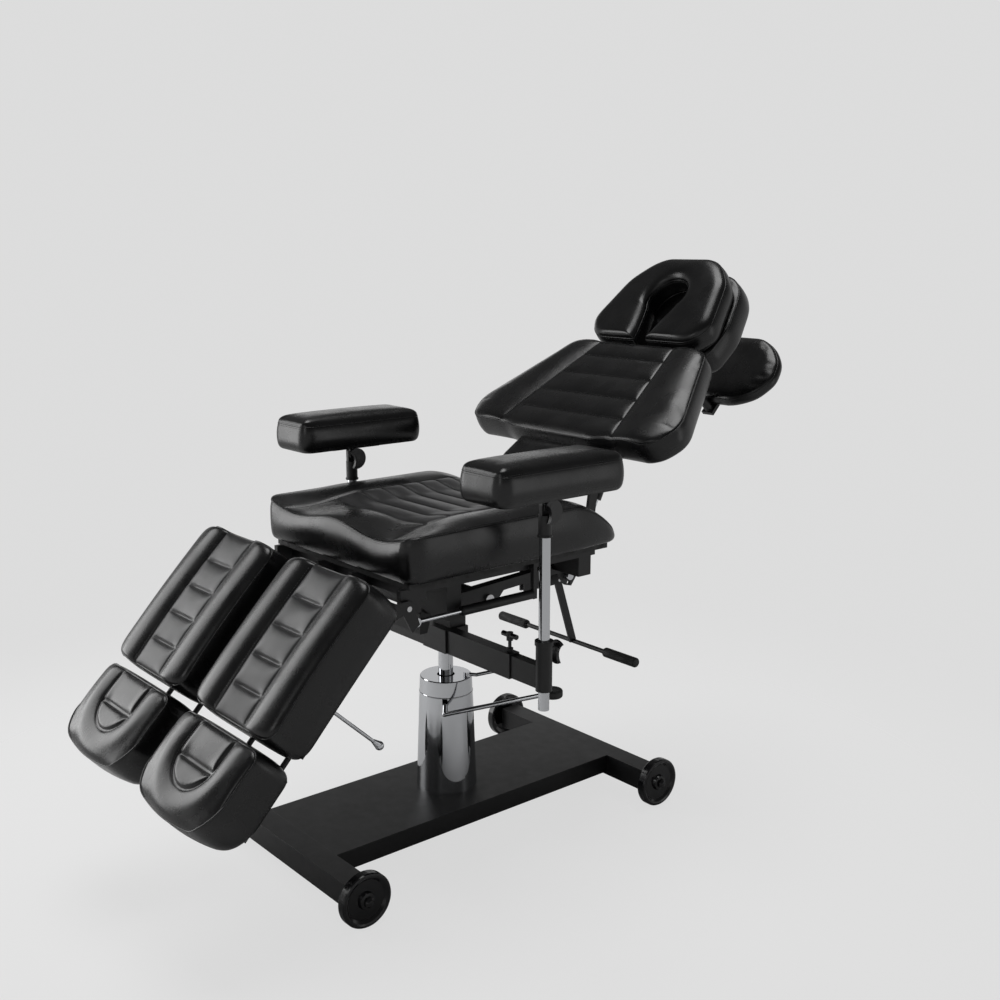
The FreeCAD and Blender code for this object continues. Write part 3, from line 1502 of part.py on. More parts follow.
def back_struts():
    """Two gas springs between the seat frame and the back, drawn where they lie."""
    low = vector(0, mm("back_strut_low_back"), mm("back_strut_low_level"))
    high = vector(0, mm("back_strut_high_back"), mm("back_strut_high_level"))
    run = high - low
    along = vector(run.x, run.y, run.z).normalize()
    bodies = []
    rods = []
    for out in SIDES.values():
        shift = vector(out * mm("back_strut_out"), 0, 0)
        top = high + shift
        foot = low + shift
        half = 0.7 * mm("back_strut_eye")
        body = Part.makeCylinder(mm("back_strut_radius"), mm("back_strut_cylinder"), top, along * -1)
        eye = Part.makeCylinder(1.2 * mm("back_strut_radius"), 2 * half,
                                top - vector(half, 0, 0), vector(1, 0, 0))
        bore = Part.makeCylinder(mm("back_strut_rod_radius") + mm("running"),
                                 mm("back_strut_cylinder") - mm("back_strut_radius"),
                                 top - along * mm("back_strut_cylinder"), along)
        pin_hole = Part.makeCylinder(mm("back_strut_rod_radius") + mm("running"), 4 * half,
                                     top - vector(2 * half, 0, 0), vector(1, 0, 0))
        bodies.append(body.fuse(eye).cut([bore, pin_hole]))
        shaft = Part.makeCylinder(mm("back_strut_rod_radius"), mm("back_strut_rod"), foot, along)
        end = Part.makeCylinder(mm("back_strut_eye"), 2 * half, foot - vector(half, 0, 0), vector(1, 0, 0))
        rods.append(shaft.fuse(end).removeSplitter())
    node(made("back_strut_bodies", Part.makeCompound(bodies)), "back_strut_cylinders")
    node(made("back_strut_shafts", Part.makeCompound(rods)), "back_strut_rods")


# Head, drawn about its hinge with the head along +Y


def head_bracket():
    plate_top = "head_plate_foot + head_plate_thickness"
    plate_end = "head_plate_start + head_plate_length"
    tube = rod("head_tube", "x", "head_tube_radius", "-head_tube_half_length", "head_tube_half_length",
               y="0", z="0")
    pin = rod("head_pin", "x", "head_pin_radius", "-(back_arm_out + face_gap)", "back_arm_out + face_gap",
              y="0", z="0")
    sheet_part = block("head_sheet", ("-head_plate_half_width", "head_plate_half_width"),
                       ("head_plate_start", plate_end), ("head_plate_foot", plate_top))
    web = block("head_web", ("-0.6 * head_tube_half_length", "0.6 * head_tube_half_length"),
                ("0", "head_plate_start + head_plate_thickness"),
                ("head_plate_foot", plate_top))
    drop = block("head_drop", ("-0.6 * head_tube_half_length", "0.6 * head_tube_half_length"),
                 ("0", "head_plate_thickness"), ("head_plate_foot", "0"))
    board_top = "shelf_foot - soft_gap"
    board_levels = (f"{board_top} - shelf_board_thickness", board_top)
    board = block("shelf_board", ("-shelf_half_width / 2", "shelf_half_width / 2"),
                  ("shelf_place - shelf_half_length + 2 * shelf_board_margin",
                   "shelf_place + shelf_half_length - 3 * shelf_board_margin"), board_levels)
    tongue = block("shelf_tongue", ("-1.6 * shelf_post_radius", "1.6 * shelf_post_radius"),
                   ("shelf_place - shelf_half_length - 2.6 * shelf_post_radius", "shelf_place"), board_levels)
    post = rod("shelf_post", "z", "shelf_post_radius", f"{board_top} - shelf_board_thickness / 2",
               "head_plate_foot + head_plate_thickness / 2",
               y="shelf_place - shelf_half_length - 1.4 * shelf_post_radius")
    parts = [tube, pin, sheet_part, web, drop, board, tongue, post]
    node(on_head(fuse("head_arms", *parts)), "head_bracket")


# Half plans of the head's pads: shares of the half width and of the length, from the low end up
HEAD_PLAN_SHARES = ((0.92, 0.0), (1.0, 0.36), (0.83, 0.79), (0.6, 1.0))
FACE_PLAN_SHARES = ((0.74, 0.0), (1.0, 0.18), (0.8, 0.72), (0.46, 1.0))
SHELF_PLAN_SHARES = ((0.5, 0.0), (1.0, 0.36), (0.94, 0.7), (0.45, 1.0))


def head_plan(shares, half_width, start, length):
    """A plan that is the same on both sides, from a table of shares."""
    half_plan = [(wide * half_width, start + along * length) for wide, along in shares]
    return half_plan + [(-x, y) for x, y in reversed(half_plan)]


def head_cushion():
    plan = head_plan(HEAD_PLAN_SHARES, mm("head_pad_half_width"), mm("head_pad_start"), mm("head_pad_length"))
    shape = pad_form(plan, mm("head_pad_thickness") - mm("pad_crown"), mm("head_corner"),
                     crown=0.1 * mm("pad_crown"), foot=mm("head_pad_foot"), draw=-mm("pad_swell"))
    node(on_head(made("head_pad", shape)), "head_cushion")


def face_cushion():
    plan = head_plan(FACE_PLAN_SHARES, mm("face_pad_half_width"), mm("face_pad_start"), mm("face_pad_length"))
    solid = pad_form(plan, mm("face_pad_thickness"), mm("head_corner"), foot=mm("face_pad_foot"),
                     draw=-mm("pad_swell"))
    thickness = mm("face_pad_thickness")
    height = 3 * thickness
    foot = mm("face_pad_foot") - thickness
    place = mm("face_hole_place")
    hole = Part.makeCylinder(mm("face_hole_radius"), height, vector(0, place, foot))
    slot_half = mm("face_slot_half_width")
    reach = place - mm("face_pad_start") + mm("face_hole_radius")
    wedge = Part.makePolygon([
        vector(-slot_half, place - reach, foot), vector(slot_half, place - reach, foot),
        vector(0.92 * mm("face_hole_radius"), place - 0.39 * mm("face_hole_radius"), foot),
        vector(-0.92 * mm("face_hole_radius"), place - 0.39 * mm("face_hole_radius"), foot),
        vector(-slot_half, place - reach, foot)])
    slot = Part.Face(Part.Wire(wedge.Edges)).extrude(vector(0, 0, height))
    shape = carve(solid, [hole.fuse(slot).removeSplitter()])
    node(on_head(made("face_pad", shape)), "face_cushion")


def arm_shelf_pad():
    start = mm("shelf_place") - mm("shelf_half_length")
    plan = head_plan(SHELF_PLAN_SHARES, mm("shelf_half_width"), start, 2 * mm("shelf_half_length"))
    edge = 0.6 * mm("pad_edge")
    shape = pad_form(plan, mm("shelf_thickness") - mm("pad_crown"), mm("head_corner"), edge=edge,
                     foot=mm("shelf_foot"), draw=-mm("pad_swell"))
    node(on_head(made("shelf_pad", shape)), "arm_shelf_pad")


base_channel()
cross_bars()
wheel_axles()
wheels()
column_shroud()
pump_cylinder()
pump_lever()
swivel_lock()
lift_piston()
swivel_head()
tilt_shaft()
for side, out in SIDES.items():
    armrest_slider(side, out)
    armrest_post(side, out)
    armrest_head(side, out)
    armrest_plate(side, out)
    armrest_pad(side, out)
    post_clamp(side, out)
    tilt_clamp(side, out)
    slide_knob(side, out)
    leg_frame(side, out)
    calf_pad(side, out)
    foot_slide(side, out)
    foot_pad(side, out)
    leg_lever(side, out)
seat_frame()
seat_board()
seat_cushion()
hinge_pins()
recline_handle()
leg_struts()
back_frame()
back_pad()
lumbar_pad()
back_struts()
head_bracket()
head_cushion()
face_cushion()
arm_shelf_pad()
doc.recompute()

# Every object has to be sound before anything is written
for thing in doc.Objects:
    if "Invalid" in thing.State or "Error" in thing.State:
        raise ValueError(f"{thing.Name} failed: {thing.State}")
for thing in nodes:
    if thing.Shape.isNull() or not thing.Shape.isValid() or not thing.Shape.Solids:
        raise ValueError(f"{thing.Label} has no sound shape")

os.makedirs("parts", exist_ok=True)
for thing in nodes:
    thing.Shape.exportStep(f"parts/{thing.Label}.step")
print(len(nodes), "sub-parts written")
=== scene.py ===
# %% [markdown]
# # A tattoo chair, dressed in Blender
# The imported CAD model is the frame: every tube, plate and hinge is where it will stay.
# Blender adds what CAD leaves plain: the leather pads with their seams, the sleeves on the
# recline handle, the finishes, and the light. Everything is in metres, with the floor at z = 0.

# %% Load the frame
import math

import bmesh
import bpy
import numpy as np
from mathutils import Matrix, Vector
from mathutils.bvhtree import BVHTree


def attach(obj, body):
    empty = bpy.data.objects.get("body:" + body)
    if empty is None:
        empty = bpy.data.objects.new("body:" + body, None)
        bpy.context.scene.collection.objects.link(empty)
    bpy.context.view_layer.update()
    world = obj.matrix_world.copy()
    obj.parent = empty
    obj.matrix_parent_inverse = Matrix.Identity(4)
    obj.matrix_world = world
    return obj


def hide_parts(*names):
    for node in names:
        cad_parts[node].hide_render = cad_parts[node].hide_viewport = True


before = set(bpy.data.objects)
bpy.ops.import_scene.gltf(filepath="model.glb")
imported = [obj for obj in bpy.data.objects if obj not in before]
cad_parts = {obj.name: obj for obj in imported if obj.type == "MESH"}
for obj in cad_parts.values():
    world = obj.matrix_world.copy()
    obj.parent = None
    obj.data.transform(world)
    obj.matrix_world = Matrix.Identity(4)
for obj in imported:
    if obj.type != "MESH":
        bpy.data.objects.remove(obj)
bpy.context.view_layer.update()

for thing in bpy.context.selected_objects:
    thing.select_set(False)

# %% [markdown]
# ## Where each assembly leans
# The legs, the back and the head are each easiest to model flat, about their own hinge, with the
# pad's face up. A matrix then leans every point into place, so the object itself stays at the
# origin, unturned and unscaled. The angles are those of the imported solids.

# %% Leaning matrices
def leaning(back, level, degrees):
    return Matrix.Translation((0, back, level)) @ Matrix.Rotation(math.radians(degrees), 4, "X")


LEVEL = Matrix.Identity(4)
LEG = leaning(-0.300, 0.660, 46.9)
BACK = leaning(0.220, 0.640, 33.0)
HEAD = leaning(0.705, 1.052, 45.7)
print("leans ready")

# %% [markdown]
# ## Leather
# The chair is covered in smooth black artificial leather with a semi-gloss top coat. It shows a
# fine pebble grain up close, and slow, soft waves where the cloth is pulled over the foam.
# Three bump layers in the node tree give this: a wide noise for the waves, a finer one for
# creases, and a small cell pattern for the grain. They read Object coordinates, so the scale is
# the same on every pad.

# %% A small helper for node trees
def fresh_material(name, colour, roughness, metallic=0.0):
    """A new material with its constants on the shader's own sockets."""
    material = bpy.data.materials.new(name)
    material.use_nodes = True
    tree = material.node_tree
    shader = tree.nodes["Principled BSDF"]
    shader.inputs["Base Color"].default_value = (*colour, 1)
    shader.inputs["Roughness"].default_value = roughness
    shader.inputs["Metallic"].default_value = metallic
    place = tree.nodes.new("ShaderNodeTexCoord")
    return material, tree, shader, place.outputs["Object"]


def noise_bump(tree, place, scale, strength, distance, detail=3.0, before=None, stretch=None):
    """One bump layer from noise, stacked on another layer if one is given."""
    nodes, links = tree.nodes, tree.links
    if stretch is not None:
        mapping = nodes.new("ShaderNodeMapping")
        mapping.inputs["Scale"].default_value = stretch
        links.new(place, mapping.inputs["Vector"])
        place = mapping.outputs["Vector"]
    noise = nodes.new("ShaderNodeTexNoise")
    noise.inputs["Scale"].default_value = scale
    noise.inputs["Detail"].default_value = detail
    links.new(place, noise.inputs["Vector"])
    bump = nodes.new("ShaderNodeBump")
    bump.inputs["Strength"].default_value = strength
    bump.inputs["Distance"].default_value = distance
    links.new(noise.outputs["Fac"], bump.inputs["Height"])
    if before is not None:
        links.new(before.outputs["Normal"], bump.inputs["Normal"])
    return bump


def varied(tree, place, socket, low, high, scale, detail=4.0):
    """A socket that wanders between two values."""
    noise = tree.nodes.new("ShaderNodeTexNoise")
    noise.inputs["Scale"].default_value = scale
    noise.inputs["Detail"].default_value = detail
    span = tree.nodes.new("ShaderNodeMapRange")
    span.inputs["From Min"].default_value = 0.3
    span.inputs["From Max"].default_value = 0.7
    span.inputs["To Min"].default_value = low
    span.inputs["To Max"].default_value = high
    tree.links.new(place, noise.inputs["Vector"])
    tree.links.new(noise.outputs["Fac"], span.inputs["Value"])
    tree.links.new(span.outputs["Result"], socket)


# %% Leather materials
def leather(name, colour, roughness, wave):
    material, tree, shader, place = fresh_material(name, colour, roughness)
    shader.inputs["Specular IOR Level"].default_value = 0.5
    waves = noise_bump(tree, place, 16, wave, 0.004, detail=1.5)
    creases = noise_bump(tree, place, 90, 0.08, 0.0008, detail=4.0, before=waves, stretch=(1, 1, 0.4))
    cells = tree.nodes.new("ShaderNodeTexVoronoi")
    cells.feature = "SMOOTH_F1"
    cells.inputs["Scale"].default_value = 620
    cells.inputs["Smoothness"].default_value = 0.6
    tree.links.new(place, cells.inputs["Vector"])
    grain = tree.nodes.new("ShaderNodeBump")
    grain.inputs["Strength"].default_value = 0.22
    grain.inputs["Distance"].default_value = 0.0004
    tree.links.new(cells.outputs["Distance"], grain.inputs["Height"])
    tree.links.new(creases.outputs["Normal"], grain.inputs["Normal"])
    tree.links.new(grain.outputs["Normal"], shader.inputs["Normal"])
    varied(tree, place, shader.inputs["Roughness"], roughness - 0.05, roughness + 0.07, 14)
    return material


BLACK_LEATHER = leather("black_leather", (0.0040, 0.0040, 0.0043), 0.26, 0.10)
PANEL_LEATHER = leather("panel_leather", (0.0150, 0.0150, 0.0158), 0.38, 0.08)
PIPING_LEATHER = leather("piping_leather", (0.0060, 0.0060, 0.0063), 0.28, 0.0)
print("leather ready")

# %% [markdown]
# ## Steel, chrome, plastic, rubber and thread
# The frame is powder coated: satin black with a faint orange peel. The shroud, the ram, the
# posts, the levers and the rods of the gas springs are polished chrome with very fine rub
# marks. The wheels are glossy moulded plastic, and the grips are dull rubber.

# %% Hard finishes
def powder_coat(name, colour, roughness):
    material, tree, shader, place = fresh_material(name, colour, roughness)
    peel = noise_bump(tree, place, 900, 0.10, 0.0003, detail=2.0)
    soft_edge = tree.nodes.new("ShaderNodeBevel")
    soft_edge.samples = 4
    soft_edge.inputs["Radius"].default_value = 0.0012
    tree.links.new(soft_edge.outputs["Normal"], peel.inputs["Normal"])
    tree.links.new(peel.outputs["Normal"], shader.inputs["Normal"])
    varied(tree, place, shader.inputs["Roughness"], roughness - 0.03, roughness + 0.03, 40)
    return material


def polished(name, colour, roughness, stretch):
    material, tree, shader, place = fresh_material(name, colour, roughness, 1.0)
    rub = noise_bump(tree, place, 260, 0.03, 0.0002, detail=5.0, stretch=stretch)
    tree.links.new(rub.outputs["Normal"], shader.inputs["Normal"])
    varied(tree, place, shader.inputs["Roughness"], roughness * 0.6, roughness * 1.7, 30)
    return material


def moulded(name, colour, roughness, grain):
    material, tree, shader, place = fresh_material(name, colour, roughness)
    skin = noise_bump(tree, place, 500, grain, 0.0003, detail=3.0)
    tree.links.new(skin.outputs["Normal"], shader.inputs["Normal"])
    varied(tree, place, shader.inputs["Roughness"], roughness * 0.8, roughness * 1.25, 60)
    return material


BLACK_STEEL = powder_coat("black_powder_coat", (0.0065, 0.0065, 0.0070), 0.46)
CHROME = polished("polished_chrome", (0.62, 0.63, 0.65), 0.07, (1, 1, 0.12))
ZINC = polished("zinc_plated_bolts", (0.62, 0.62, 0.63), 0.24, (1, 1, 1))
WHEEL_PLASTIC = moulded("glossy_wheel_plastic", (0.006, 0.006, 0.007), 0.16, 0.03)
KNOB_PLASTIC = moulded("black_knob_plastic", (0.009, 0.009, 0.010), 0.30, 0.08)
GRIP_RUBBER = moulded("grip_rubber", (0.014, 0.014, 0.014), 0.62, 0.30)
BOARD = moulded("painted_plywood", (0.010, 0.010, 0.010), 0.60, 0.25)
THREAD = moulded("sewing_thread", (0.018, 0.018, 0.019), 0.60, 0.20)
print("hard finishes ready")

# %% Finishes of the CAD nodes
FINISHES = {
    CHROME: ("column_shroud", "lift_piston", "pump_lever", "swivel_lock_lever", "armrest_post_left",
             "armrest_post_right", "back_strut_rods", "leg_strut_rod_left", "leg_strut_rod_right",
             "leg_lever_left", "leg_lever_right"),
    ZINC: ("hinge_pins", "tilt_shaft", "wheel_axles"),
    KNOB_PLASTIC: ("slide_knob_left", "slide_knob_right", "post_clamp_left", "post_clamp_right",
                   "tilt_clamp_left", "tilt_clamp_right"),
    WHEEL_PLASTIC: ("wheel_front_left", "wheel_front_right", "wheel_rear_left", "wheel_rear_right"),
    GRIP_RUBBER: ("pedal_pad", "swivel_lock_grip", "handle_grips"),
    BOARD: ("seat_board",),
}
finish_of = {node: material for material, names in FINISHES.items() for node in names}
for name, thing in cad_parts.items():
    thing.data.materials.clear()
    thing.data.materials.append(finish_of.get(name, BLACK_STEEL))
print(len(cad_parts), "CAD nodes finished")

# %% [markdown]
# ## How the pads are sewn
# Each pad is foam on a board, under a cover of a top panel and a side band that meet in a
# stitched seam. A grid follows the panel, with close lines beside every seam, so that a seam
# can be a narrow valley between full, soft channels. The same grid, on most pads a little
# smaller, closes the underside, and rings between the two make the band.

# %% Lines of the grid
def close_lines(low, high, step, seams=(), edge=(0.0, 0.002, 0.005, 0.010, 0.017, 0.026), tight=0.0022):
    """Places from low to high: an even step, closer at both ends and beside each seam."""
    fixed = [low + e for e in edge] + [high - e for e in edge]
    for seam in seams:
        fixed += [seam + k * tight for k in (-3, -1.4, 0, 1.4, 3)]
    count = max(2, round((high - low) / step))
    even = [low + (high - low) * k / count for k in range(1, count)]
    even = [place for place in even if min(abs(place - other) for other in fixed) > 0.55 * step]
    places = sorted(fixed + even)
    kept = [places[0]]
    for place in places[1:]:
        if place - kept[-1] > 0.0009:
            kept.append(place)
    return np.array(kept)


def rounded_end(distance, radius):
    """How far a corner has drawn in, this far from the end."""
    short = np.clip(radius - distance, 0, radius)
    return radius - np.sqrt(np.maximum(radius ** 2 - short ** 2, 0))


def roll(distance, radius, height):
    """How much lower the cover is this close to its edge."""
    near = np.clip(1 - distance / radius, 0, 1)
    return height * (1 - np.sqrt(np.maximum(1 - near ** 2, 0)))


def valley(distance, depth, width):
    """A sewn seam: a narrow valley."""
    return depth * np.exp(-(distance / width) ** 2)


def channel_puff(place, seams, height, low, high):
    """Full rolls between neighbouring seams."""
    edges = [low, *seams, high]
    rise = np.zeros_like(place)
    for a, b in zip(edges, edges[1:]):
        share = np.clip((place - a) / (b - a), 0, 1)
        rise += np.where((place >= a) & (place < b), height * (1 - (2 * share - 1) ** 4), 0)
    return rise


def ease(value, low, high):
    """A smooth step from 0 at low to 1 at high."""
    share = np.clip((value - low) / (high - low), 0, 1)
    return share * share * (3 - 2 * share)


print("lines and heights ready")

# %% [markdown]
# ## Puffing the foam
# Foam under a cover is never as even as a formula. Blender's Cloth, blown up from inside with a
# little pressure and with gravity off, makes the cover pull between its seams. The seams, the
# underside and the rim are pinned, and no point may move further than a few millimetres.

# %% Cloth pass
def puff(piece, pinned, cap, pressure=3.0, frames=10):
    """Runs the cloth for a few frames and keeps a capped share of what it did."""
    rest = np.array([v.co for v in piece.data.vertices])
    group = piece.vertex_groups.new(name="held")
    group.add([int(i) for i in pinned], 1.0, "REPLACE")
    cloth = piece.modifiers.new("cover", "CLOTH")
    settings = cloth.settings
    settings.use_pressure = True
    settings.uniform_pressure_force = pressure
    settings.effector_weights.gravity = 0
    settings.vertex_group_mass = "held"
    settings.quality = 4
    settings.tension_stiffness = 12
    settings.compression_stiffness = 12
    settings.bending_stiffness = 0.6
    cloth.collision_settings.use_collision = False
    cloth.point_cache.frame_start = 1
    cloth.point_cache.frame_end = frames
    for step in range(1, frames + 1):
        bpy.context.scene.frame_set(step)
    evaluated = piece.evaluated_get(bpy.context.evaluated_depsgraph_get())
    moved = np.array([v.co for v in evaluated.data.vertices])
    piece.modifiers.remove(cloth)
    bpy.context.scene.frame_set(1)
    shift = moved - rest
    length = np.linalg.norm(shift, axis=1)
    shift *= (cap * np.tanh(length / cap) / np.maximum(length, 1e-9))[:, None]
    for vertex, place in zip(piece.data.vertices, rest + shift):
        vertex.co = place
    piece.vertex_groups.remove(group)
    print(piece.name, "puffed by up to", round(float(np.linalg.norm(shift, axis=1).max()) * 1000, 1), "mm")


print("cloth pass ready")

# %% [markdown]
# ## From a grid to a cover
# A real cover is cut from flat pieces and sewn round its foam. Each pad could be sculpted by
# hand, but a grid keeps every seam on its own line. One class takes any grid through the same
# steps: band, underside, cloth and one subdivision.

# %% The pad maker
class Pad:
    """A pad as a grid: lines across (u) and along (y), and the places that they take."""

    def __init__(self, lines_u, lines_y, half_width, panel=None, panel_rest=None, bend=None):
        self.u, self.y = lines_u, lines_y
        self.half_width = half_width
        self.panel, self.panel_rest, self.bend = panel, panel_rest, bend

    def plan(self):
        """X and Y of every grid point, rows along y."""
        wide = np.array([self.half_width(y) for y in self.y])
        x = np.empty((len(self.y), len(self.u)))
        full = np.abs(self.u).max()
        for row, y in enumerate(self.y):
            if self.panel is None:
                x[row] = self.u / full * wide[row]
                continue
            edge = min(self.panel(y), 0.93 * wide[row])
            rest = self.panel_rest
            inside = np.abs(self.u) <= rest
            outer = edge + (np.abs(self.u) - rest) / (full - rest) * (wide[row] - edge)
            x[row] = np.where(inside, self.u / rest * edge, np.sign(self.u) * outer)
        y = np.repeat(self.y[:, None], len(self.u), axis=1)
        return x, y if self.bend is None else y + self.bend(x, y)


def rim_of(rows, columns):
    """Indices of a grid's rim, anticlockwise from its first corner."""
    first = [(0, c) for c in range(columns)]
    right = [(r, columns - 1) for r in range(1, rows)]
    last = [(rows - 1, c) for c in range(columns - 2, -1, -1)]
    left = [(r, 0) for r in range(rows - 2, 0, -1)]
    return first + right + last + left


def outward_of(x, y):
    """Unit directions that point out of a closed line in the plane."""
    tangent = np.stack([np.roll(x, -1) - np.roll(x, 1), np.roll(y, -1) - np.roll(y, 1)], axis=1)
    for _ in range(2):
        tangent = (np.roll(tangent, 1, 0) + 2 * tangent + np.roll(tangent, -1, 0)) / 4
    outward = np.stack([tangent[:, 1], -tangent[:, 0]], axis=1)
    return outward / np.maximum(np.linalg.norm(outward, axis=1)[:, None], 1e-9)


# Rings of a band: the share of its height, and how far it swells out there
BAND = ((0.94, 0.0012), (0.84, 0.0030), (0.66, 0.0046), (0.45, 0.0050), (0.25, 0.0036), (0.10, 0.0008),
        (0.02, -0.0045))


class Cover:
    """A finished pad: its piece, its rim, and a way to lay a seam on it."""

    def __init__(self, name, x, y, z, foot, lean, body, nodes, fill, band=BAND, inlay=None, held=None,
                 folds=None, cap=0.003, shrink=0.955):
        rows, columns = x.shape
        rim = rim_of(rows, columns)
        rx, ry, rim_z = (np.array([grid[r, c] for r, c in rim]) for grid in (x, y, z))
        outward = outward_of(rx, ry)
        self.rim = np.stack([rx, ry, rim_z, outward[:, 0], outward[:, 1]], axis=1)
        self.lean, self.body, self.name = lean, body, name
        points = [(x[r, c], y[r, c], z[r, c]) for r in range(rows) for c in range(columns)]
        top_faces = [
            (r * columns + c, r * columns + c + 1, (r + 1) * columns + c + 1, (r + 1) * columns + c)
            for r in range(rows - 1) for c in range(columns - 1)
        ]
        faces = list(top_faces)
        ring = [r * columns + c for r, c in rim]
        pinned = set(ring)
        if held is not None:
            pinned.update(np.flatnonzero(held(x, y).ravel()).tolist())
        count = len(rim)
        for share, bulge in band:
            start = len(points)
            height = foot + (rim_z - foot) * share
            swell = np.full(count, bulge)
            if folds is not None:
                swell = swell + folds(rx, ry, share)
            points += [
                (rx[k] + outward[k, 0] * swell[k], ry[k] + outward[k, 1] * swell[k], height[k])
                for k in range(count)
            ]
            below = list(range(start, start + count))
            faces += [
                (ring[k], below[k], below[(k + 1) % count], ring[(k + 1) % count]) for k in range(count)
            ]
            ring = below
        pinned.update(ring)
        start = len(points)
        cx, cy = (rx.max() + rx.min()) / 2, (ry.max() + ry.min()) / 2
        points += [
            (cx + (x[r, c] - cx) * shrink, cy + (y[r, c] - cy) * shrink, foot)
            for r in range(rows) for c in range(columns)
        ]
        under = [start + r * columns + c for r, c in rim]
        faces += [(ring[k], under[k], under[(k + 1) % count], ring[(k + 1) % count]) for k in range(count)]
        faces += [
            (start + r * columns + c, start + (r + 1) * columns + c,
             start + (r + 1) * columns + c + 1, start + r * columns + c + 1)
            for r in range(rows - 1) for c in range(columns - 1)
        ]
        pinned.update(range(start, len(points)))
        mesh = bpy.data.meshes.new(name)
        mesh.from_pydata([tuple(lean @ Vector(p)) for p in points], [], faces)
        mesh.update()
        self.piece = bpy.data.objects.new(name, mesh)
        bpy.context.collection.objects.link(self.piece)
        mesh.materials.append(BLACK_LEATHER)
        if inlay is not None:
            mesh.materials.append(PANEL_LEATHER)
            for index, corners in enumerate(top_faces):
                px = sum(points[k][0] for k in corners) / 4
                py = sum(points[k][1] for k in corners) / 4
                if inlay(px, py):
                    mesh.polygons[index].material_index = 1
        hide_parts(*nodes)
        puff(self.piece, sorted(pinned), cap)
        smooth_skin(self.piece, body)
        self.tree = BVHTree.FromObject(self.piece, bpy.context.evaluated_depsgraph_get())

    def laid(self, start, towards, lift=0.0003):
        """The point of the cover that a ray meets, and None where it meets nothing."""
        origin = self.lean @ Vector(start)
        direction = (self.lean.to_3x3() @ Vector(towards)).normalized()
        place, normal, _, _ = self.tree.ray_cast(origin, direction, 0.2)
        return None if place is None else place + normal * lift

    def on_top(self, line, lift=0.0003):
        """A line of (x, y) laid on the top of the cover."""
        places = [self.laid((x, y, 0.1 + self.rim[:, 2].max()), (0, 0, -1), lift) for x, y in line]
        return [place for place in places if place is not None]

    def beside_rim(self, inset, lift=0.0003):
        """A line on the top, this far inside the rim."""
        return self.on_top([(r[0] - r[3] * inset, r[1] - r[4] * inset) for r in self.rim], lift)

    def below_rim(self, drop, lift=0.0003):
        """A line on the band, this far below the rim."""
        places = [
            self.laid((r[0] + r[3] * 0.04, r[1] + r[4] * 0.04, r[2] - drop), (-r[3], -r[4], 0), lift)
            for r in self.rim
        ]
        return [place for place in places if place is not None]

    def rim_line(self, lift=0.0):
        return [self.lean @ Vector((r[0], r[1], r[2] + lift)) for r in self.rim]


def smooth_skin(piece, body, levels=1):
    """One subdivision, smooth shading, and the pad's place in the frame."""
    bpy.ops.object.select_all(action="DESELECT")
    bpy.context.view_layer.objects.active = piece
    piece.select_set(True)
    skin = piece.modifiers.new("skin", "SUBSURF")
    skin.levels = levels
    skin.render_levels = levels
    bpy.ops.object.modifier_apply(modifier=skin.name)
    bpy.ops.object.shade_smooth()
    piece.select_set(False)
    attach(piece, body)


print("pad maker ready")

# %% [markdown]
# ## Seams that show
# A run of stitches is a row of short threads pressed into the cover. One thread is a few faces,
# and they are repeated along the seam. They are laid on the finished cover by rays, so that
# they follow its swelling. Piping is a thin cord along the rim, which the cloth doesn't move.

# %% Stitches and piping along a line of points
def evenly(points, spacing, closed=True):
    """The same line at an even spacing, as places and directions."""
    line = [Vector(p) for p in points] + ([Vector(points[0])] if closed else [])
    lengths = [0.0]
    for a, b in zip(line, line[1:]):
        lengths.append(lengths[-1] + (b - a).length)
    count = max(2, int(lengths[-1] / spacing))
    result, k = [], 0
    for n in range(count):
        target = lengths[-1] * n / count
        while lengths[k + 1] < target:
            k += 1
        share = (target - lengths[k]) / max(lengths[k + 1] - lengths[k], 1e-9)
        result.append((line[k].lerp(line[k + 1], share), (line[k + 1] - line[k]).normalized()))
    return result


def stitches(name, lines, body, spacing=0.0062, length=0.0042, radius=0.00042, closed=True):
    """Threads along several lines, as one piece."""
    points, faces = [], []
    for line in lines:
        if len(line) < 2:
            continue
        for place, along in evenly(line, spacing, closed):
            side = along.cross(Vector((0, 0, 1)))
            side = side.normalized() if side.length > 0.1 else Vector((1, 0, 0))
            rise = side.cross(along).normalized()
            start = len(points)
            for end, scale in ((-0.5, 0.35), (-0.3, 1.0), (0.3, 1.0), (0.5, 0.35)):
                for k in range(4):
                    turn = math.pi * (2 * k + 1) / 4
                    offset = side * math.cos(turn) + rise * math.sin(turn)
                    points.append(place + along * (end * length) + offset * (radius * scale))
            for ring in range(3):
                for k in range(4):
                    a, b = start + ring * 4 + k, start + ring * 4 + (k + 1) % 4
                    faces.append((a, b, b + 4, a + 4))
            faces.append(tuple(start + k for k in reversed(range(4))))
            faces.append(tuple(start + 12 + k for k in range(4)))
    mesh = bpy.data.meshes.new(name)
    mesh.from_pydata([tuple(p) for p in points], [], faces)
    mesh.materials.append(THREAD)
    piece = bpy.data.objects.new(name, mesh)
    bpy.context.collection.objects.link(piece)
    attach(piece, body)
    return piece


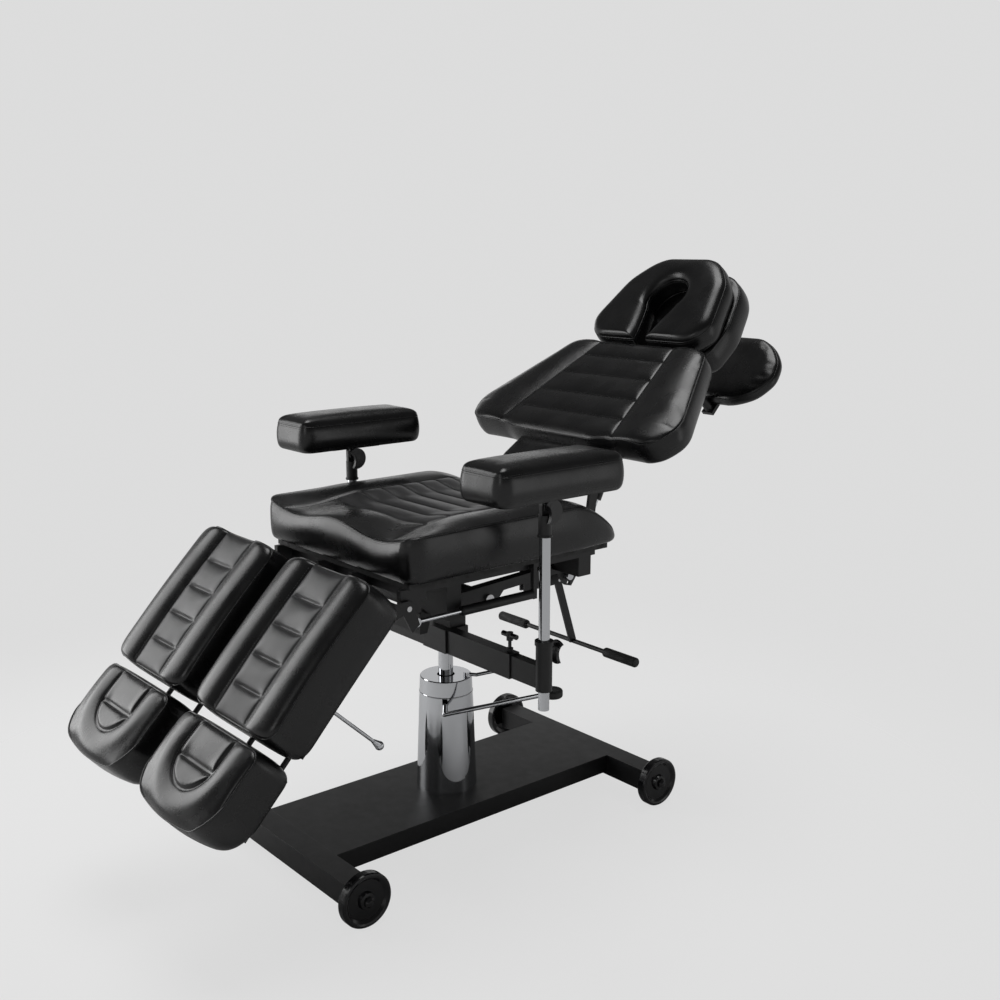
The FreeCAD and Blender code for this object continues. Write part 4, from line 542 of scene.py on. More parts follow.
def piping(name, lines, body, radius=0.0018, closed=True):
    """Round cords along seams, as one mesh."""
    curve = bpy.data.curves.new(name + "_line", "CURVE")
    curve.dimensions = "3D"
    curve.bevel_depth = radius
    curve.bevel_resolution = 1
    for line in lines:
        places = [place for place, _ in evenly(line, 0.006, closed)]
        spline = curve.splines.new("POLY")
        spline.points.add(len(places) - 1)
        for point, place in zip(spline.points, places):
            point.co = (*place, 1)
        spline.use_cyclic_u = closed
    holder = bpy.data.objects.new(name + "_line", curve)
    bpy.context.collection.objects.link(holder)
    mesh = bpy.data.meshes.new_from_object(holder)
    bpy.data.objects.remove(holder)
    mesh.name = name
    mesh.materials.clear()
    mesh.materials.append(PIPING_LEATHER)
    piece = bpy.data.objects.new(name, mesh)
    bpy.context.collection.objects.link(piece)
    for face in mesh.polygons:
        face.use_smooth = True
    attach(piece, body)
    return piece


def pleats(spots, reach, depth, count=3.0):
    """Small folds along the band round some places of the rim."""
    def folds(x, y, share):
        near = sum(np.exp(-((x - sx) ** 2 + (y - sy) ** 2) / reach ** 2) for sx, sy in spots)
        return depth * near * math.sin(2 * math.pi * count * share)
    return folds


print("seams ready")

# %% [markdown]
# ## Grips of the recline handle
# A foam sleeve is pushed on each end of the bar. It could be a swept outline, but a cylinder
# takes fewer lines. Its edges are bevelled in edit mode, which rounds both rims. The bevel
# takes the long side edges too and is wider than the facets there, so the facets overlap and
# some of them face inwards.

# %% Grip sleeves
GRIP = {"radius": 0.0122, "length": 0.112, "out": 0.2075, "back": 0.400, "level": 0.381, "rim": 0.004}


def grip_sleeve(side, out):
    bpy.ops.object.select_all(action="DESELECT")
    bpy.ops.mesh.primitive_cylinder_add(vertices=48, radius=GRIP["radius"], depth=GRIP["length"],
                                        rotation=(0, math.pi / 2, 0),
                                        location=(out * GRIP["out"], GRIP["back"], GRIP["level"]))
    sleeve = bpy.context.active_object
    sleeve.name = f"grip_sleeve_{side}"
    bpy.ops.object.transform_apply(location=True, rotation=True, scale=True)
    bpy.ops.object.mode_set(mode="EDIT")
    bpy.ops.mesh.select_all(action="SELECT")
    bpy.ops.mesh.bevel(offset=GRIP["rim"], segments=4, affect="EDGES")
    bpy.ops.object.mode_set(mode="OBJECT")
    bpy.ops.object.shade_smooth_by_angle(angle=math.radians(40))
    sleeve.data.materials.append(GRIP_RUBBER)
    sleeve.select_set(False)
    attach(sleeve, "handle")


for side, out in (("left", 1), ("right", -1)):
    grip_sleeve(side, out)
print("grip sleeves ready")

# %% [markdown]
# ## Armrest pads
# Two long blocks of foam with generous corners. The band is deep, and the seam to the top panel
# sits about a quarter of the way down, sewn twice. The right arm stands a little higher.

# %% Armrest pads
def armrest_pad(side, out, rise):
    centre = (out * 0.376, -0.0195, rise)
    half, reach, low, seam_level, high = 0.0725, 0.1775, 0.8855, 0.951, 0.9715
    lines_y = close_lines(-reach, reach, 0.014)
    lines_u = close_lines(-half, half, 0.011, edge=(0.0, 0.003, 0.008, 0.016))

    def half_width(y):
        return half - float(rounded_end(reach - abs(y), 0.024)) - 0.0015 * math.cos(math.pi * y / (2 * reach))

    x, y = Pad(lines_u, lines_y, half_width).plan()
    edge = np.minimum(np.vectorize(half_width)(y) - np.abs(x), reach - np.abs(y))
    z = high - roll(edge, 0.030, high - seam_level) + 0.003 * (1 - (x / half) ** 2) * (1 - (y / reach) ** 2)
    cover = Cover(f"armrest_cushion_{side}", x, y, z, low, Matrix.Translation(centre), f"arm_pad_{side}",
                  [f"armrest_pad_{side}"], 0.9)
    rows = [cover.below_rim(0.0042), cover.below_rim(-0.0034)]
    stitches(f"armrest_stitches_{side}", rows, f"arm_pad_{side}")
    piping(f"armrest_seam_{side}", [cover.rim_line()], f"arm_pad_{side}", 0.0011)


for side, out, rise in (("left", 1, 0.0), ("right", -1, 0.016)):
    armrest_pad(side, out, rise)
print("armrest pads ready")

# %% [markdown]
# ## Seat cushion
# The seat has raised sides, a dished middle with seven seams sewn across it, and a smooth
# front. The front seam waves: a hollow for each thigh, with a low ridge between them and
# the corners standing up. The rear slopes down to a thin edge.

# %% Seat cushion
SEAT = {"front": -0.3145, "rear": 0.3235, "foot": 0.7128, "half": 0.2950, "top": 0.8215, "panel": 0.183}
SEAT_SEAMS = [-0.188, -0.122, -0.060, 0.000, 0.054, 0.106, 0.158]


def seat_cushion():
    front, rear, foot, half = SEAT["front"], SEAT["rear"], SEAT["foot"], SEAT["half"]
    panel_rest = SEAT["panel"]
    lines_y = close_lines(front, rear, 0.013, SEAT_SEAMS)
    lines_u = close_lines(-half, half, 0.013, (-panel_rest, panel_rest))

    def half_width(y):
        wide = half - float(rounded_end(y - front, 0.034)) - float(rounded_end(rear - y, 0.050))
        waist = 0.003 * math.sin(math.pi * (y - front) / (rear - front))
        return wide - waist - 0.022 * max(0, (y - 0.15) / 0.17) ** 2

    def panel(y):
        return panel_rest + 0.034 * max(0, (-0.20 - y) / 0.114) ** 1.6

    x, y = Pad(lines_u, lines_y, half_width, panel, panel_rest).plan()
    wide, inner = np.vectorize(half_width)(y), np.vectorize(panel)(y)
    edge = np.minimum(np.minimum(wide - np.abs(x), y - front), rear - y)
    middle = SEAT["top"] - 0.015 + 0.015 * ease(np.abs(x), inner - 0.10, inner + 0.005)
    bolster = np.clip((np.abs(x) - inner) / np.maximum(wide - inner, 0.01), 0, 1)
    middle = middle + 0.006 * np.sin(np.pi * bolster)
    wave = 0.8060 + 0.0095 * np.cos(2 * np.pi * x / 0.345) + 0.008 * (np.abs(x) / half) ** 6
    z = middle + (wave - middle) * ease(-y, 0.10, 0.312)
    z = z - 0.097 * np.clip((y - 0.150) / (rear - 0.150), 0, 1) ** 1.7
    z = z - roll(edge, 0.020, 0.005)
    inside = np.clip((inner - np.abs(x)) / 0.014, 0, 1)
    z = z + inside * channel_puff(y, SEAT_SEAMS[1:], 0.0022, SEAT_SEAMS[0], 0.230)
    for seam in SEAT_SEAMS:
        z = z - valley(y - seam, 0.0032, 0.0026) * np.clip((inner - np.abs(x)) / 0.002, 0, 1)
    z = z - valley(np.abs(x) - inner, 0.0036, 0.0028) * np.clip(edge / 0.02, 0, 1)

    def held(x, y):
        sewn = np.abs(np.abs(x) - np.vectorize(panel)(y)) < 0.003
        for seam in SEAT_SEAMS:
            sewn |= (np.abs(y - seam) < 0.003) & (np.abs(x) < panel_rest)
        return sewn

    cover = Cover("seat_cushion_cover", x, y, z, foot, LEVEL, "seat", ["seat_cushion"], 0.85, held=held,
                  inlay=lambda x, y: abs(x) < panel(y) and y > SEAT_SEAMS[0], cap=0.003,
                  folds=pleats([(0.27, front + 0.01), (-0.27, front + 0.01)], 0.028, 0.0009, 4))
    across = np.linspace(-panel_rest + 0.002, panel_rest - 0.002, 60)
    lines = [
        cover.on_top([(u, seam + shift) for u in across])
        for seam in SEAT_SEAMS for shift in (-0.003, 0.003)
    ]
    along = np.linspace(front + 0.012, 0.24, 90)
    lines += [cover.on_top([(sign * (panel(v) + 0.0035), v) for v in along]) for sign in (-1, 1)]
    stitches("seat_channel_stitches", lines, "seat", closed=False)
    stitches("seat_edge_stitches", [cover.beside_rim(0.0040), cover.below_rim(0.0040)], "seat")
    piping("seat_edge_seam", [cover.rim_line()], "seat", 0.0012)


seat_cushion()
print("seat cushion ready")

# %% [markdown]
# ## Leg pads
# Each leg has a long calf pad and a short foot pad. On the calf pad, a middle panel with four
# cross seams lies between two full rolls, and a piped seam runs round the face. The panel is
# low where it meets the end of the pad, so the end's seam dips in a saddle.

# %% Calf pads
def calf_pad(side, out):
    middle, half, near, far = out * 0.190, 0.1575, -0.0272, -0.3870
    foot, face = 0.0668, 0.1690
    length = near - far
    seams = [near - share * length for share in (0.22, 0.415, 0.615, 0.81)]
    panel_rest = 0.0600
    lines_y = close_lines(far, near, 0.013, seams)
    lines_u = close_lines(-half, half, 0.010, (-panel_rest, panel_rest))

    def half_width(y):
        wide = half - float(rounded_end(near - y, 0.032)) - float(rounded_end(y - far, 0.034))
        return wide - 0.002 * math.sin(math.pi * (near - y) / length)

    x, y = Pad(lines_u, lines_y, half_width, lambda y: panel_rest, panel_rest).plan()
    wide = np.vectorize(half_width)(y)
    edge = np.minimum(np.minimum(wide - np.abs(x), near - y), y - far)
    z = face + 0.005 * np.sin(np.pi * np.clip((near - y) / length, 0, 1))
    across = np.clip((np.abs(x) - panel_rest) / (wide - panel_rest), 0, 1)
    hollow = 0.003 * (1 - ease(np.abs(x), panel_rest - 0.030, panel_rest))
    z = z + 0.0115 * np.sin(np.pi * across) ** 0.75 - hollow
    z = z - roll(edge, 0.014, 0.006)
    inside = np.clip((panel_rest - np.abs(x)) / 0.022, 0, 1)
    z = z + inside * channel_puff(y, sorted(seams), 0.0030, far, near)
    for seam in seams:
        z = z - valley(y - seam, 0.0062, 0.0040) * inside
    z = z - valley(np.abs(x) - panel_rest, 0.0026, 0.0024) * np.clip(edge / 0.012, 0, 1)

    def held(x, y):
        sewn = np.abs(np.abs(x) - panel_rest) < 0.003
        for seam in seams:
            sewn |= (np.abs(y - seam) < 0.003) & (np.abs(x) < panel_rest)
        return sewn

    lean = LEG @ Matrix.Translation((middle, 0, 0))
    cover = Cover(f"calf_cushion_{side}", x, y, z, foot, lean, f"leg_{side}", [f"calf_pad_{side}"], 0.85,
                  inlay=lambda x, y: abs(x) < panel_rest, held=held, cap=0.003,
                  folds=pleats([(half - 0.01, near - 0.02), (0.01 - half, near - 0.02)], 0.05, 0.0008, 2))
    line = np.linspace(-panel_rest + 0.002, panel_rest - 0.002, 26)
    rows = [cover.on_top([(u, seam + shift) for u in line]) for seam in seams for shift in (-0.0055, 0.0055)]
    line = np.linspace(far + 0.010, near - 0.010, 70)
    rows += [cover.on_top([(sign * (panel_rest + 0.0042), v) for v in line]) for sign in (-1, 1)]
    stitches(f"calf_stitches_{side}", rows, f"leg_{side}", closed=False)
    piping(f"calf_piping_{side}", [cover.rim_line(0.0004)], f"leg_{side}")


for side, out in (("left", 1), ("right", -1)):
    calf_pad(side, out)
print("calf pads ready")


# %% [markdown]
# ## Foot pads
# A foot pad is short, with a round far end and a sewn tongue that one seam crosses. The tongue's
# seam curves, so no line of the grid follows it. The mesh could be cut along it, but a finer
# grid shows the valley with the same steps as the other pads.

# %% Foot pads
def foot_pad(side, out):
    middle, half, near, far = out * 0.190, 0.1520, -0.4120, -0.6070
    foot, face = 0.0668, 0.1680
    length = near - far
    lines_y = close_lines(far, near, 0.0042)
    lines_u = close_lines(-half, half, 0.0042)

    def half_width(y):
        return half - float(rounded_end(near - y, 0.026)) - 0.78 * float(rounded_end(y - far, 0.072))

    def bend(x, y):
        """The far end is round, so its lines bow."""
        return 0.020 * ease(-y, -near + 0.05, -far) * (np.abs(x) / half) ** 2.0

    x, y = Pad(lines_u, lines_y, half_width, bend=bend).plan()
    wide = np.vectorize(half_width)(y)
    edge = np.minimum(np.minimum(wide - np.abs(x), near - y), y - bend(x, y) - far)
    radius, bottom = 0.0710, near - 0.132
    gap = np.where(y > bottom + radius, np.abs(x) - radius, np.hypot(x, y - (bottom + radius)) - radius)
    z = face + 0.004 * np.sin(np.pi * np.clip((near - y) / length, 0, 1))
    z = z + 0.0075 * np.exp(-((gap - 0.034) / 0.030) ** 2) - 0.002 * ease(-gap, 0.0, 0.03)
    z = z - roll(edge, 0.018, 0.007)
    z = z - valley(gap, 0.0040, 0.0034) * np.clip(edge / 0.012, 0, 1)
    cross = near - 0.078
    z = z + 0.004 * np.clip(-gap / 0.010, 0, 1) * (1 - np.exp(-((y - cross) / 0.016) ** 2))
    z = z - valley(y - cross, 0.0055, 0.0040) * np.clip(-gap / 0.006, 0, 1)

    def outside(x, y):
        curve = np.hypot(x, y - (bottom + radius)) - radius
        return np.where(y > bottom + radius, np.abs(x) - radius, curve)

    def held(x, y):
        return (np.abs(outside(x, y)) < 0.004) | ((np.abs(y - cross) < 0.005) & (outside(x, y) < 0))

    lean = LEG @ Matrix.Translation((middle, 0, 0))
    cover = Cover(f"foot_cushion_{side}", x, y, z, foot, lean, f"foot_{side}", [f"foot_pad_{side}"], 0.9,
                  held=held, cap=0.003)
    turns = np.linspace(0, math.pi, 40)
    tongue = [(radius + 0.0042, v) for v in np.linspace(near - 0.008, bottom + radius, 14)]
    tongue += [
        ((radius + 0.0042) * math.cos(t), bottom + radius - (radius + 0.0042) * math.sin(t)) for t in turns
    ]
    tongue += [(-u, v) for u, v in reversed(tongue[:14])]
    line = np.linspace(-radius + 0.003, radius - 0.003, 28)
    rows = [cover.on_top(tongue)]
    rows += [cover.on_top([(u, cross + shift) for u in line]) for shift in (-0.005, 0.005)]
    stitches(f"foot_stitches_{side}", rows, f"foot_{side}", closed=False)
    piping(f"foot_piping_{side}", [cover.rim_line(0.0004)], f"foot_{side}")


for side, out in (("left", 1), ("right", -1)):
    foot_pad(side, out)
print("foot pads ready")

# %% [markdown]
# ## Back pad
# The back is a wide six-sided pad: narrow at the shoulders, widest low down, with a long middle
# panel that has four cross seams. Its half widths are a short table, and a formula rounds the
# corners. The low edge reaches down a little in the middle, over the lumbar pad.

# %% Back pad
BACK_PLAN = ((0.2770, 0.316), (0.2980, 0.341), (0.3520, 0.3720), (0.6400, 0.2390))


def back_pad():
    low, high = BACK_PLAN[0][0], BACK_PLAN[-1][0]
    foot, face = 0.1195, 0.1905
    seams = [0.344, 0.418, 0.497, 0.573]
    panel_rest = 0.165
    lines_y = close_lines(low, high, 0.012, seams)
    lines_u = close_lines(-0.30, 0.30, 0.0125, (-panel_rest, panel_rest))
    places, halves = zip(*BACK_PLAN)

    def half_width(y):
        wide = float(np.interp(y, places, halves))
        wide -= 0.010 * max(0, 1 - abs(y - places[2]) / 0.040) ** 2
        return wide - float(rounded_end(high - y, 0.032)) - float(rounded_end(y - low, 0.018))

    def panel(y):
        return 0.137 + 0.067 * (0.625 - y) / 0.33

    def bend(x, y):
        """The low edge of the middle reaches down over the lumbar pad."""
        return -0.011 * (1 - ease(np.abs(x), 0.135, 0.195)) * (1 - ease(y, low, low + 0.06))

    x, y = Pad(lines_u, lines_y, half_width, panel, panel_rest, bend).plan()
    wide, inner = np.vectorize(half_width)(y), np.vectorize(panel)(y)
    edge = np.minimum(np.minimum(0.88 * (wide - np.abs(x)), high - y), y - bend(x, y) - low)
    z = face + 0.003 * (1 - (x / 0.36) ** 2)
    wing = np.clip((np.abs(x) - inner) / np.maximum(wide - inner, 0.01), 0, 1)
    z = z + 0.0065 * np.sin(np.pi * wing) ** 0.9 - roll(edge, 0.022, 0.008)
    inside = np.clip((inner - np.abs(x)) / 0.008, 0, 1)
    z = z + inside * channel_puff(y, seams, 0.0010, low, high)
    for seam in seams:
        z = z - valley(y - seam, 0.0026, 0.0026) * inside
    z = z - valley(np.abs(x) - inner, 0.0014, 0.0026) * np.clip(edge / 0.016, 0, 1)

    def held(x, y):
        sewn = np.abs(np.abs(x) - np.vectorize(panel)(y)) < 0.003
        for seam in seams:
            sewn |= (np.abs(y - seam) < 0.003) & (np.abs(x) < np.vectorize(panel)(y))
        return sewn

    corners = [(sign * 0.345, 0.335) for sign in (-1, 1)]
    cover = Cover("back_cushion_cover", x, y, z, foot, BACK, "back", ["back_pad"], 0.85, held=held,
                  cap=0.0025, folds=pleats(corners, 0.045, 0.0013, 3))
    rows = []
    for seam in seams:
        line = np.linspace(-panel(seam) + 0.003, panel(seam) - 0.003, 60)
        rows += [cover.on_top([(u, seam + shift) for u in line]) for shift in (-0.003, 0.003)]
    line = np.linspace(low + 0.008, high - 0.008, 70)
    rows += [cover.on_top([(sign * (panel(v) + 0.0036), v) for v in line]) for sign in (-1, 1)]
    stitches("back_panel_stitches", rows, "back", closed=False)
    stitches("back_edge_stitches", [cover.beside_rim(0.0040)], "back")
    piping("back_piping", [cover.rim_line()], "back", 0.0016)


back_pad()
print("back pad ready")


# %% [markdown]
# ## Lumbar pad
# A thin pad sits in the gap below the back pad. It has no channels, so it could be a bevelled
# box, but the steps of the other pads give it the same kind of rim and cloth.

# %% Lumbar pad
def lumbar_pad():
    half, low, high, foot, face = 0.1385, 0.1715, 0.2700, 0.1195, 0.1545
    lines_y = close_lines(low, high, 0.010)
    lines_u = close_lines(-half, half, 0.012)

    def half_width(y):
        return half - float(rounded_end(y - low, 0.028)) - float(rounded_end(high - y, 0.01))

    x, y = Pad(lines_u, lines_y, half_width).plan()
    edge = np.minimum(np.minimum(np.vectorize(half_width)(y) - np.abs(x), high - y), y - low)
    z = face + 0.003 * (1 - (x / half) ** 2) - roll(edge, 0.014, 0.008)
    cover = Cover("lumbar_cushion_cover", x, y, z, foot, BACK, "back", ["lumbar_pad"], 0.9, cap=0.002)
    piping("lumbar_piping", [cover.rim_line()], "back", 0.0014)


lumbar_pad()
print("lumbar pad ready")

# %% [markdown]
# ## Head cushions and arm shelf
# A thick base cushion carries a horseshoe face cushion with a keyhole opening. Behind them hangs
# a small shelf pad for the arms of someone who lies face down. Their outlines are tables of
# half widths, joined smoothly.

# %% Head base cushion
def shaped(table, low_radius, high_radius, smoothing=240):
    """Half width from a table of (y, half width), with rounded ends."""
    places, halves = zip(*table)
    fine = np.linspace(places[0], places[-1], 200)
    wide = np.interp(fine, places, halves)
    for _ in range(smoothing):
        wide[1:-1] = (wide[:-2] + 2 * wide[1:-1] + wide[2:]) / 4

    def half_width(y):
        short = float(rounded_end(places[-1] - y, high_radius))
        short += float(rounded_end(y - places[0], low_radius))
        return float(np.interp(y, fine, wide)) - short
    return half_width


def plain_pad(name, table, radii, foot, face, edge_roll, body, nodes, lean, folds=None):
    """A pad without channels, on a plan from a table."""
    half_width = shaped(table, *radii)
    low, high = table[0][0], table[-1][0]
    reach = max(half for _, half in table)
    x, y = Pad(close_lines(-reach, reach, 0.012), close_lines(low, high, 0.011), half_width).plan()
    edge = np.minimum(np.minimum(np.vectorize(half_width)(y) - np.abs(x), high - y), y - low)
    z = face + 0.003 * (1 - (x / reach) ** 2) - roll(edge, *edge_roll)
    return Cover(name, x, y, z, foot, lean, body, nodes, 0.9, folds=folds, cap=0.002)


BASE_TABLE = ((0.0495, 0.192), (0.150, 0.206), (0.272, 0.172), (0.3305, 0.126))
base = plain_pad("head_base_cover", BASE_TABLE, (0.030, 0.036), -0.0225, 0.0530, (0.016, 0.006), "head",
                 ["head_cushion"], HEAD, pleats([(0.19, 0.10), (-0.19, 0.10)], 0.05, 0.0012, 3))
piping("head_base_piping", [base.rim_line()], "head", 0.0016)
stitches("head_base_stitches", [base.below_rim(0.0060)], "head")
print("head base ready")


# %% [markdown]
# ## Face cushion
# The face cushion is a horseshoe with a keyhole. It could be cut from a full pad, but the cut
# edge would then need a rounding of its own. Here the rows of one grid run from the keyhole's
# edge out to the rim, so both edges get the same roll and band.

# %% Face cushion with its keyhole
def face_cushion():
    """A horseshoe: one grid, whose rows run from the keyhole's edge out to the rim."""
    table = ((0.0475, 0.172), (0.100, 0.2110), (0.255, 0.171), (0.3345, 0.098))
    low, high, foot, face = table[0][0], table[-1][0], 0.0575, 0.1230
    hole_y, hole_r, slot = 0.197, 0.0625, 0.0225
    half_width = shaped(table, 0.026, 0.034)

    def inner_point(share):
        """Along the keyhole, from the slot's mouth at +X, over the top, to its mouth at -X."""
        turn_low = -0.62
        legs = 0.28
        if share > 0.5:
            x, y = inner_point(1 - share)
            return -x, y
        if share < legs:
            part = share / legs
            x1, y1 = hole_r * math.cos(turn_low), hole_y + hole_r * math.sin(turn_low)
            return slot + (x1 - slot) * part ** 1.35, low + (y1 - low) * part
        turn = turn_low + (math.pi / 2 - turn_low) * (share - legs) / (0.5 - legs)
        return hole_r * math.cos(turn), hole_y + 1.04 * hole_r * math.sin(turn)

    right = [(half_width(v), v, 0) for v in close_lines(low, high, 0.008)]
    bottom = [(slot + (right[0][0] - slot) * k / 12, low, 0) for k in range(12)]
    crown = [(right[-1][0] * (1 - k / 8), high, 0) for k in range(1, 9)]
    half_line = bottom + right + crown
    mirrored = [(-a, b, 0) for a, b, _ in reversed(half_line[:-1])]
    outer = [place for place, _ in evenly(half_line + mirrored, 0.004, closed=False)]
    around = 118
    steps = np.array([0, 0.02, 0.05, 0.09, 0.15, 0.23, 0.34, 0.46, 0.58, 0.70, 0.79, 0.86, 0.92, 0.96, 0.985,
                      1.0])
    x = np.empty((around + 1, len(steps)))
    y, z = np.empty_like(x), np.empty_like(x)
    for row in range(around + 1):
        share = row / around
        ix, iy = inner_point(share)
        place = share * (len(outer) - 1)
        k = min(int(place), len(outer) - 2)
        rim_point = outer[k].lerp(outer[k + 1], place - k)
        width = math.hypot(rim_point.x - ix, rim_point.y - iy)
        end = min(share, 1 - share) * 1.5
        x[row], y[row] = ix + (rim_point.x - ix) * steps, iy + (rim_point.y - iy) * steps
        edge = np.minimum(np.minimum(steps, 1 - steps) * width, end if end < 0.075 else 9)
        z[row] = face + 0.003 * np.sin(np.pi * steps) - roll(edge, 0.030, 0.017)
    band = tuple((share, bulge * 0.8) for share, bulge in BAND)
    cover = Cover("face_cushion_cover", x, y, z, foot, HEAD, "head", ["face_cushion"], 0.9, band=band,
                  cap=0.0025, shrink=1.0)
    piping("face_piping", [cover.rim_line()], "head", 0.0014)
    stitches("face_stitches", [cover.below_rim(0.0050)], "head")


face_cushion()
print("face cushion ready")

# %% Arm shelf pad
SHELF_TABLE = ((0.1165, 0.100), (0.150, 0.150), (0.205, 0.1790), (0.265, 0.166), (0.3400, 0.098))
shelf = plain_pad("arm_shelf_cover", SHELF_TABLE, (0.034, 0.046), -0.2495, -0.2120, (0.018, 0.010), "head",
                  ["arm_shelf_pad"], HEAD)
piping("arm_shelf_piping", [shelf.rim_line()], "head", 0.0015)
print("arm shelf ready")

# %% [markdown]
# ## Floor, light and camera
# The photograph has a pale, even background. A wide plane is the floor and the world is the
# backdrop, both pale to the camera. The world that lights the chair is darker, and shiny faces
# see little of the pale backdrop, so that the leather stays black. Four area lamps and a broad
# lamp overhead make its highlights.

# %% Floor and backdrop
BACKDROP = (0.720, 0.720, 0.720)
BACKDROP_TOP, CEILING = 7.5, 0.03
FLOOR_GLOW = 1.15
HORIZON = 0.42
FLOOR_CAMERA_SHARE = 0.80
BACKDROP_GLOSSY_SHARE = 0.12


def studio_floor():
    bpy.ops.object.select_all(action="DESELECT")
    bpy.ops.mesh.primitive_plane_add(size=16, location=(0, 0, 0))
    floor = bpy.context.active_object
    floor.name = "studio_floor"
    material, tree, shader, place = fresh_material("studio_floor_paint", (0.74, 0.74, 0.74), 0.9)
    shader.inputs["Specular IOR Level"].default_value = 0.1
    glow = tree.nodes.new("ShaderNodeEmission")
    glow.inputs["Color"].default_value = (*BACKDROP, 1)
    glow.inputs["Strength"].default_value = FLOOR_GLOW
    paint = tree.nodes.new("ShaderNodeMixShader")
    path = tree.nodes.new("ShaderNodeLightPath")
    seen = tree.nodes.new("ShaderNodeMath")
    seen.operation = "MULTIPLY"
    seen.inputs[1].default_value = FLOOR_CAMERA_SHARE
    tree.links.new(path.outputs["Is Camera Ray"], seen.inputs[0])
    tree.links.new(seen.outputs["Value"], paint.inputs["Fac"])
    clear = tree.nodes.new("ShaderNodeBsdfTransparent")
    mix = tree.nodes.new("ShaderNodeMixShader")
    distance = tree.nodes.new("ShaderNodeVectorMath")
    distance.operation = "LENGTH"
    fade = tree.nodes.new("ShaderNodeMapRange")
    fade.inputs["From Min"].default_value = 0.9
    fade.inputs["From Max"].default_value = 2.2
    fade.interpolation_type = "SMOOTHSTEP"
    tree.links.new(place, distance.inputs[0])
    tree.links.new(distance.outputs["Value"], fade.inputs["Value"])
    tree.links.new(fade.outputs["Result"], mix.inputs["Fac"])
    tree.links.new(shader.outputs["BSDF"], paint.inputs[1])
    tree.links.new(glow.outputs["Emission"], paint.inputs[2])
    tree.links.new(paint.outputs["Shader"], mix.inputs[1])
    tree.links.new(clear.outputs["BSDF"], mix.inputs[2])
    tree.links.new(mix.outputs["Shader"], tree.nodes["Material Output"].inputs["Surface"])
    floor.data.materials.append(material)
    return floor


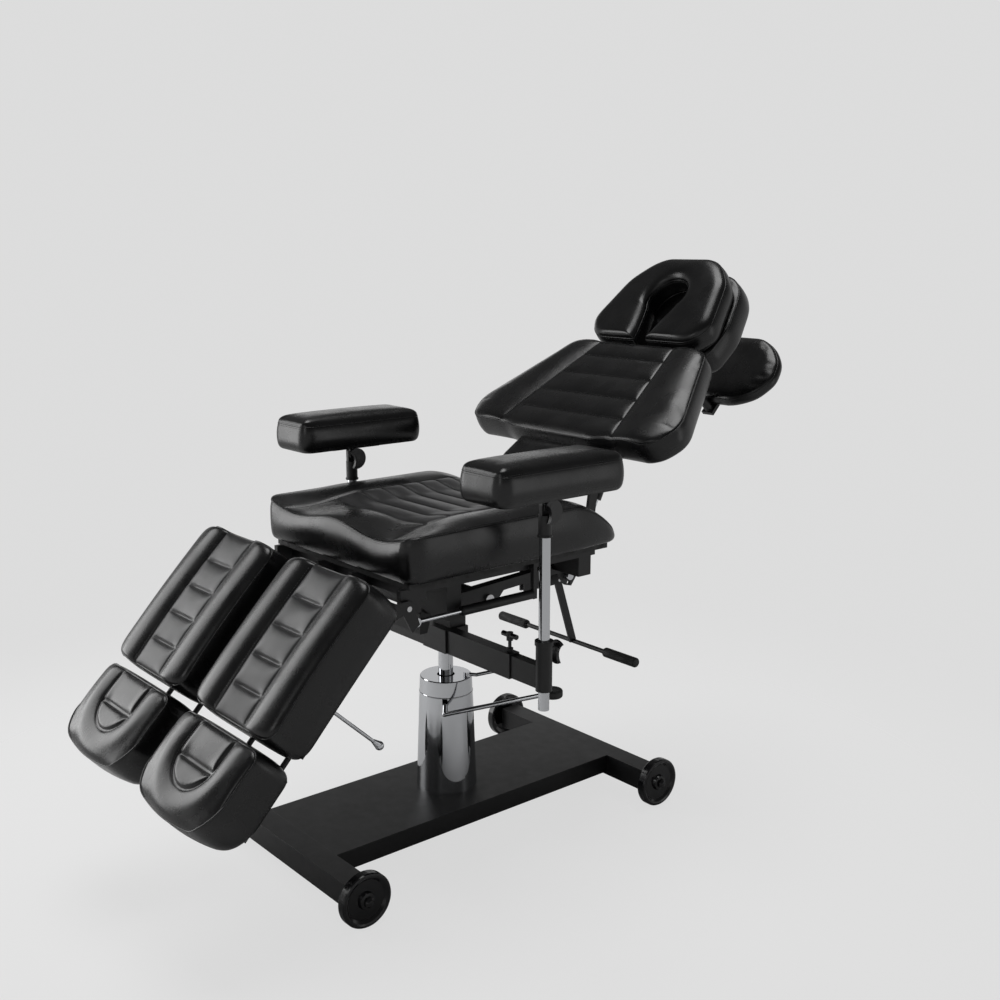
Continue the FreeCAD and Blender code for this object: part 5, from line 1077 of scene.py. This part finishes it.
def studio_world():
    world = bpy.data.worlds.new("studio")
    bpy.context.scene.world = world
    world.use_nodes = True
    tree = world.node_tree
    tree.nodes.clear()
    output = tree.nodes.new("ShaderNodeOutputWorld")
    seen = tree.nodes.new("ShaderNodeBackground")
    seen.inputs["Color"].default_value = (*BACKDROP, 1)
    seen.inputs["Strength"].default_value = 1.0
    lighting = tree.nodes.new("ShaderNodeBackground")
    lighting.inputs["Strength"].default_value = 1.0
    place = tree.nodes.new("ShaderNodeTexCoord")
    split = tree.nodes.new("ShaderNodeSeparateXYZ")
    height = tree.nodes.new("ShaderNodeMapRange")
    height.inputs["From Min"].default_value = math.sin(math.radians(BACKDROP_TOP))
    height.inputs["From Max"].default_value = math.sin(math.radians(BACKDROP_TOP + 13))
    height.inputs["To Min"].default_value = HORIZON
    height.inputs["To Max"].default_value = CEILING
    tree.links.new(place.outputs["Generated"], split.inputs["Vector"])
    tree.links.new(split.outputs["Z"], height.inputs["Value"])
    tree.links.new(height.outputs["Result"], lighting.inputs["Color"])
    path = tree.nodes.new("ShaderNodeLightPath")
    either = tree.nodes.new("ShaderNodeMath")
    either.operation = "MAXIMUM"
    mix = tree.nodes.new("ShaderNodeMixShader")
    tree.links.new(path.outputs["Is Camera Ray"], either.inputs[0])
    tree.links.new(path.outputs["Is Transmission Ray"], either.inputs[1])
    faint = tree.nodes.new("ShaderNodeMath")
    faint.operation = "MULTIPLY"
    faint.inputs[1].default_value = BACKDROP_GLOSSY_SHARE
    share = tree.nodes.new("ShaderNodeMath")
    share.operation = "MAXIMUM"
    tree.links.new(path.outputs["Is Glossy Ray"], faint.inputs[0])
    tree.links.new(either.outputs["Value"], share.inputs[0])
    tree.links.new(faint.outputs["Value"], share.inputs[1])
    tree.links.new(share.outputs["Value"], mix.inputs["Fac"])
    tree.links.new(lighting.outputs["Background"], mix.inputs[1])
    tree.links.new(seen.outputs["Background"], mix.inputs[2])
    tree.links.new(mix.outputs["Shader"], output.inputs["Surface"])


studio_floor()
studio_world()
print("floor and backdrop ready")


# %% Lamps
def softbox(name, place, aim, size, power):
    data = bpy.data.lights.new(name, "AREA")
    data.shape = "RECTANGLE"
    data.size, data.size_y = size
    data.energy = power
    lamp = bpy.data.objects.new(name, data)
    bpy.context.collection.objects.link(lamp)
    lamp.location = place
    lamp.visible_camera = False
    lamp.rotation_euler = (Vector(aim) - Vector(place)).to_track_quat("-Z", "Y").to_euler()
    return lamp


def sky_panel(strength, spread):
    """Soft light from nearly straight above, as from a ceiling panel."""
    data = bpy.data.lights.new("ceiling_panel", "SUN")
    data.energy = strength
    data.angle = math.radians(spread)
    lamp = bpy.data.objects.new("ceiling_panel", data)
    bpy.context.collection.objects.link(lamp)
    lamp.rotation_euler = (math.radians(-8), math.radians(-10), 0)


sky_panel(1.3, 36)
softbox("left_softbox", (-2.0, -1.5, 1.35), (0, -0.1, 0.7), (1.3, 2.2), 28)
softbox("right_softbox", (2.7, 1.8, 1.0), (0, 0.1, 0.7), (0.9, 1.6), 3)
softbox("front_softbox", (1.3, -3.3, 2.2), (0, 0, 0.6), (1.2, 1.2), 7)
softbox("rear_softbox", (-2.4, 1.9, 1.5), (0, 0, 0.8), (2.2, 0.9), 3)
print("lamps ready")

# %% Camera
VIEW_TURN, VIEW_RISE = math.radians(49.98), math.radians(11.83)
eye = Vector((2.2757, -1.7367, 1.4094))
backwards = Vector((math.sin(VIEW_TURN) * math.cos(VIEW_RISE), -math.cos(VIEW_TURN) * math.cos(VIEW_RISE),
                    math.sin(VIEW_RISE)))
camera_data = bpy.data.cameras.new("photo_camera")
camera_data.sensor_width = 36
camera_data.lens = 43.977
camera = bpy.data.objects.new("photo_camera", camera_data)
bpy.context.collection.objects.link(camera)
camera.location = eye
camera.rotation_euler = backwards.to_track_quat("Z", "Y").to_euler()
bpy.context.scene.camera = camera
bpy.context.scene.view_settings.view_transform = "Standard"
print("camera at", tuple(round(x, 3) for x in eye))
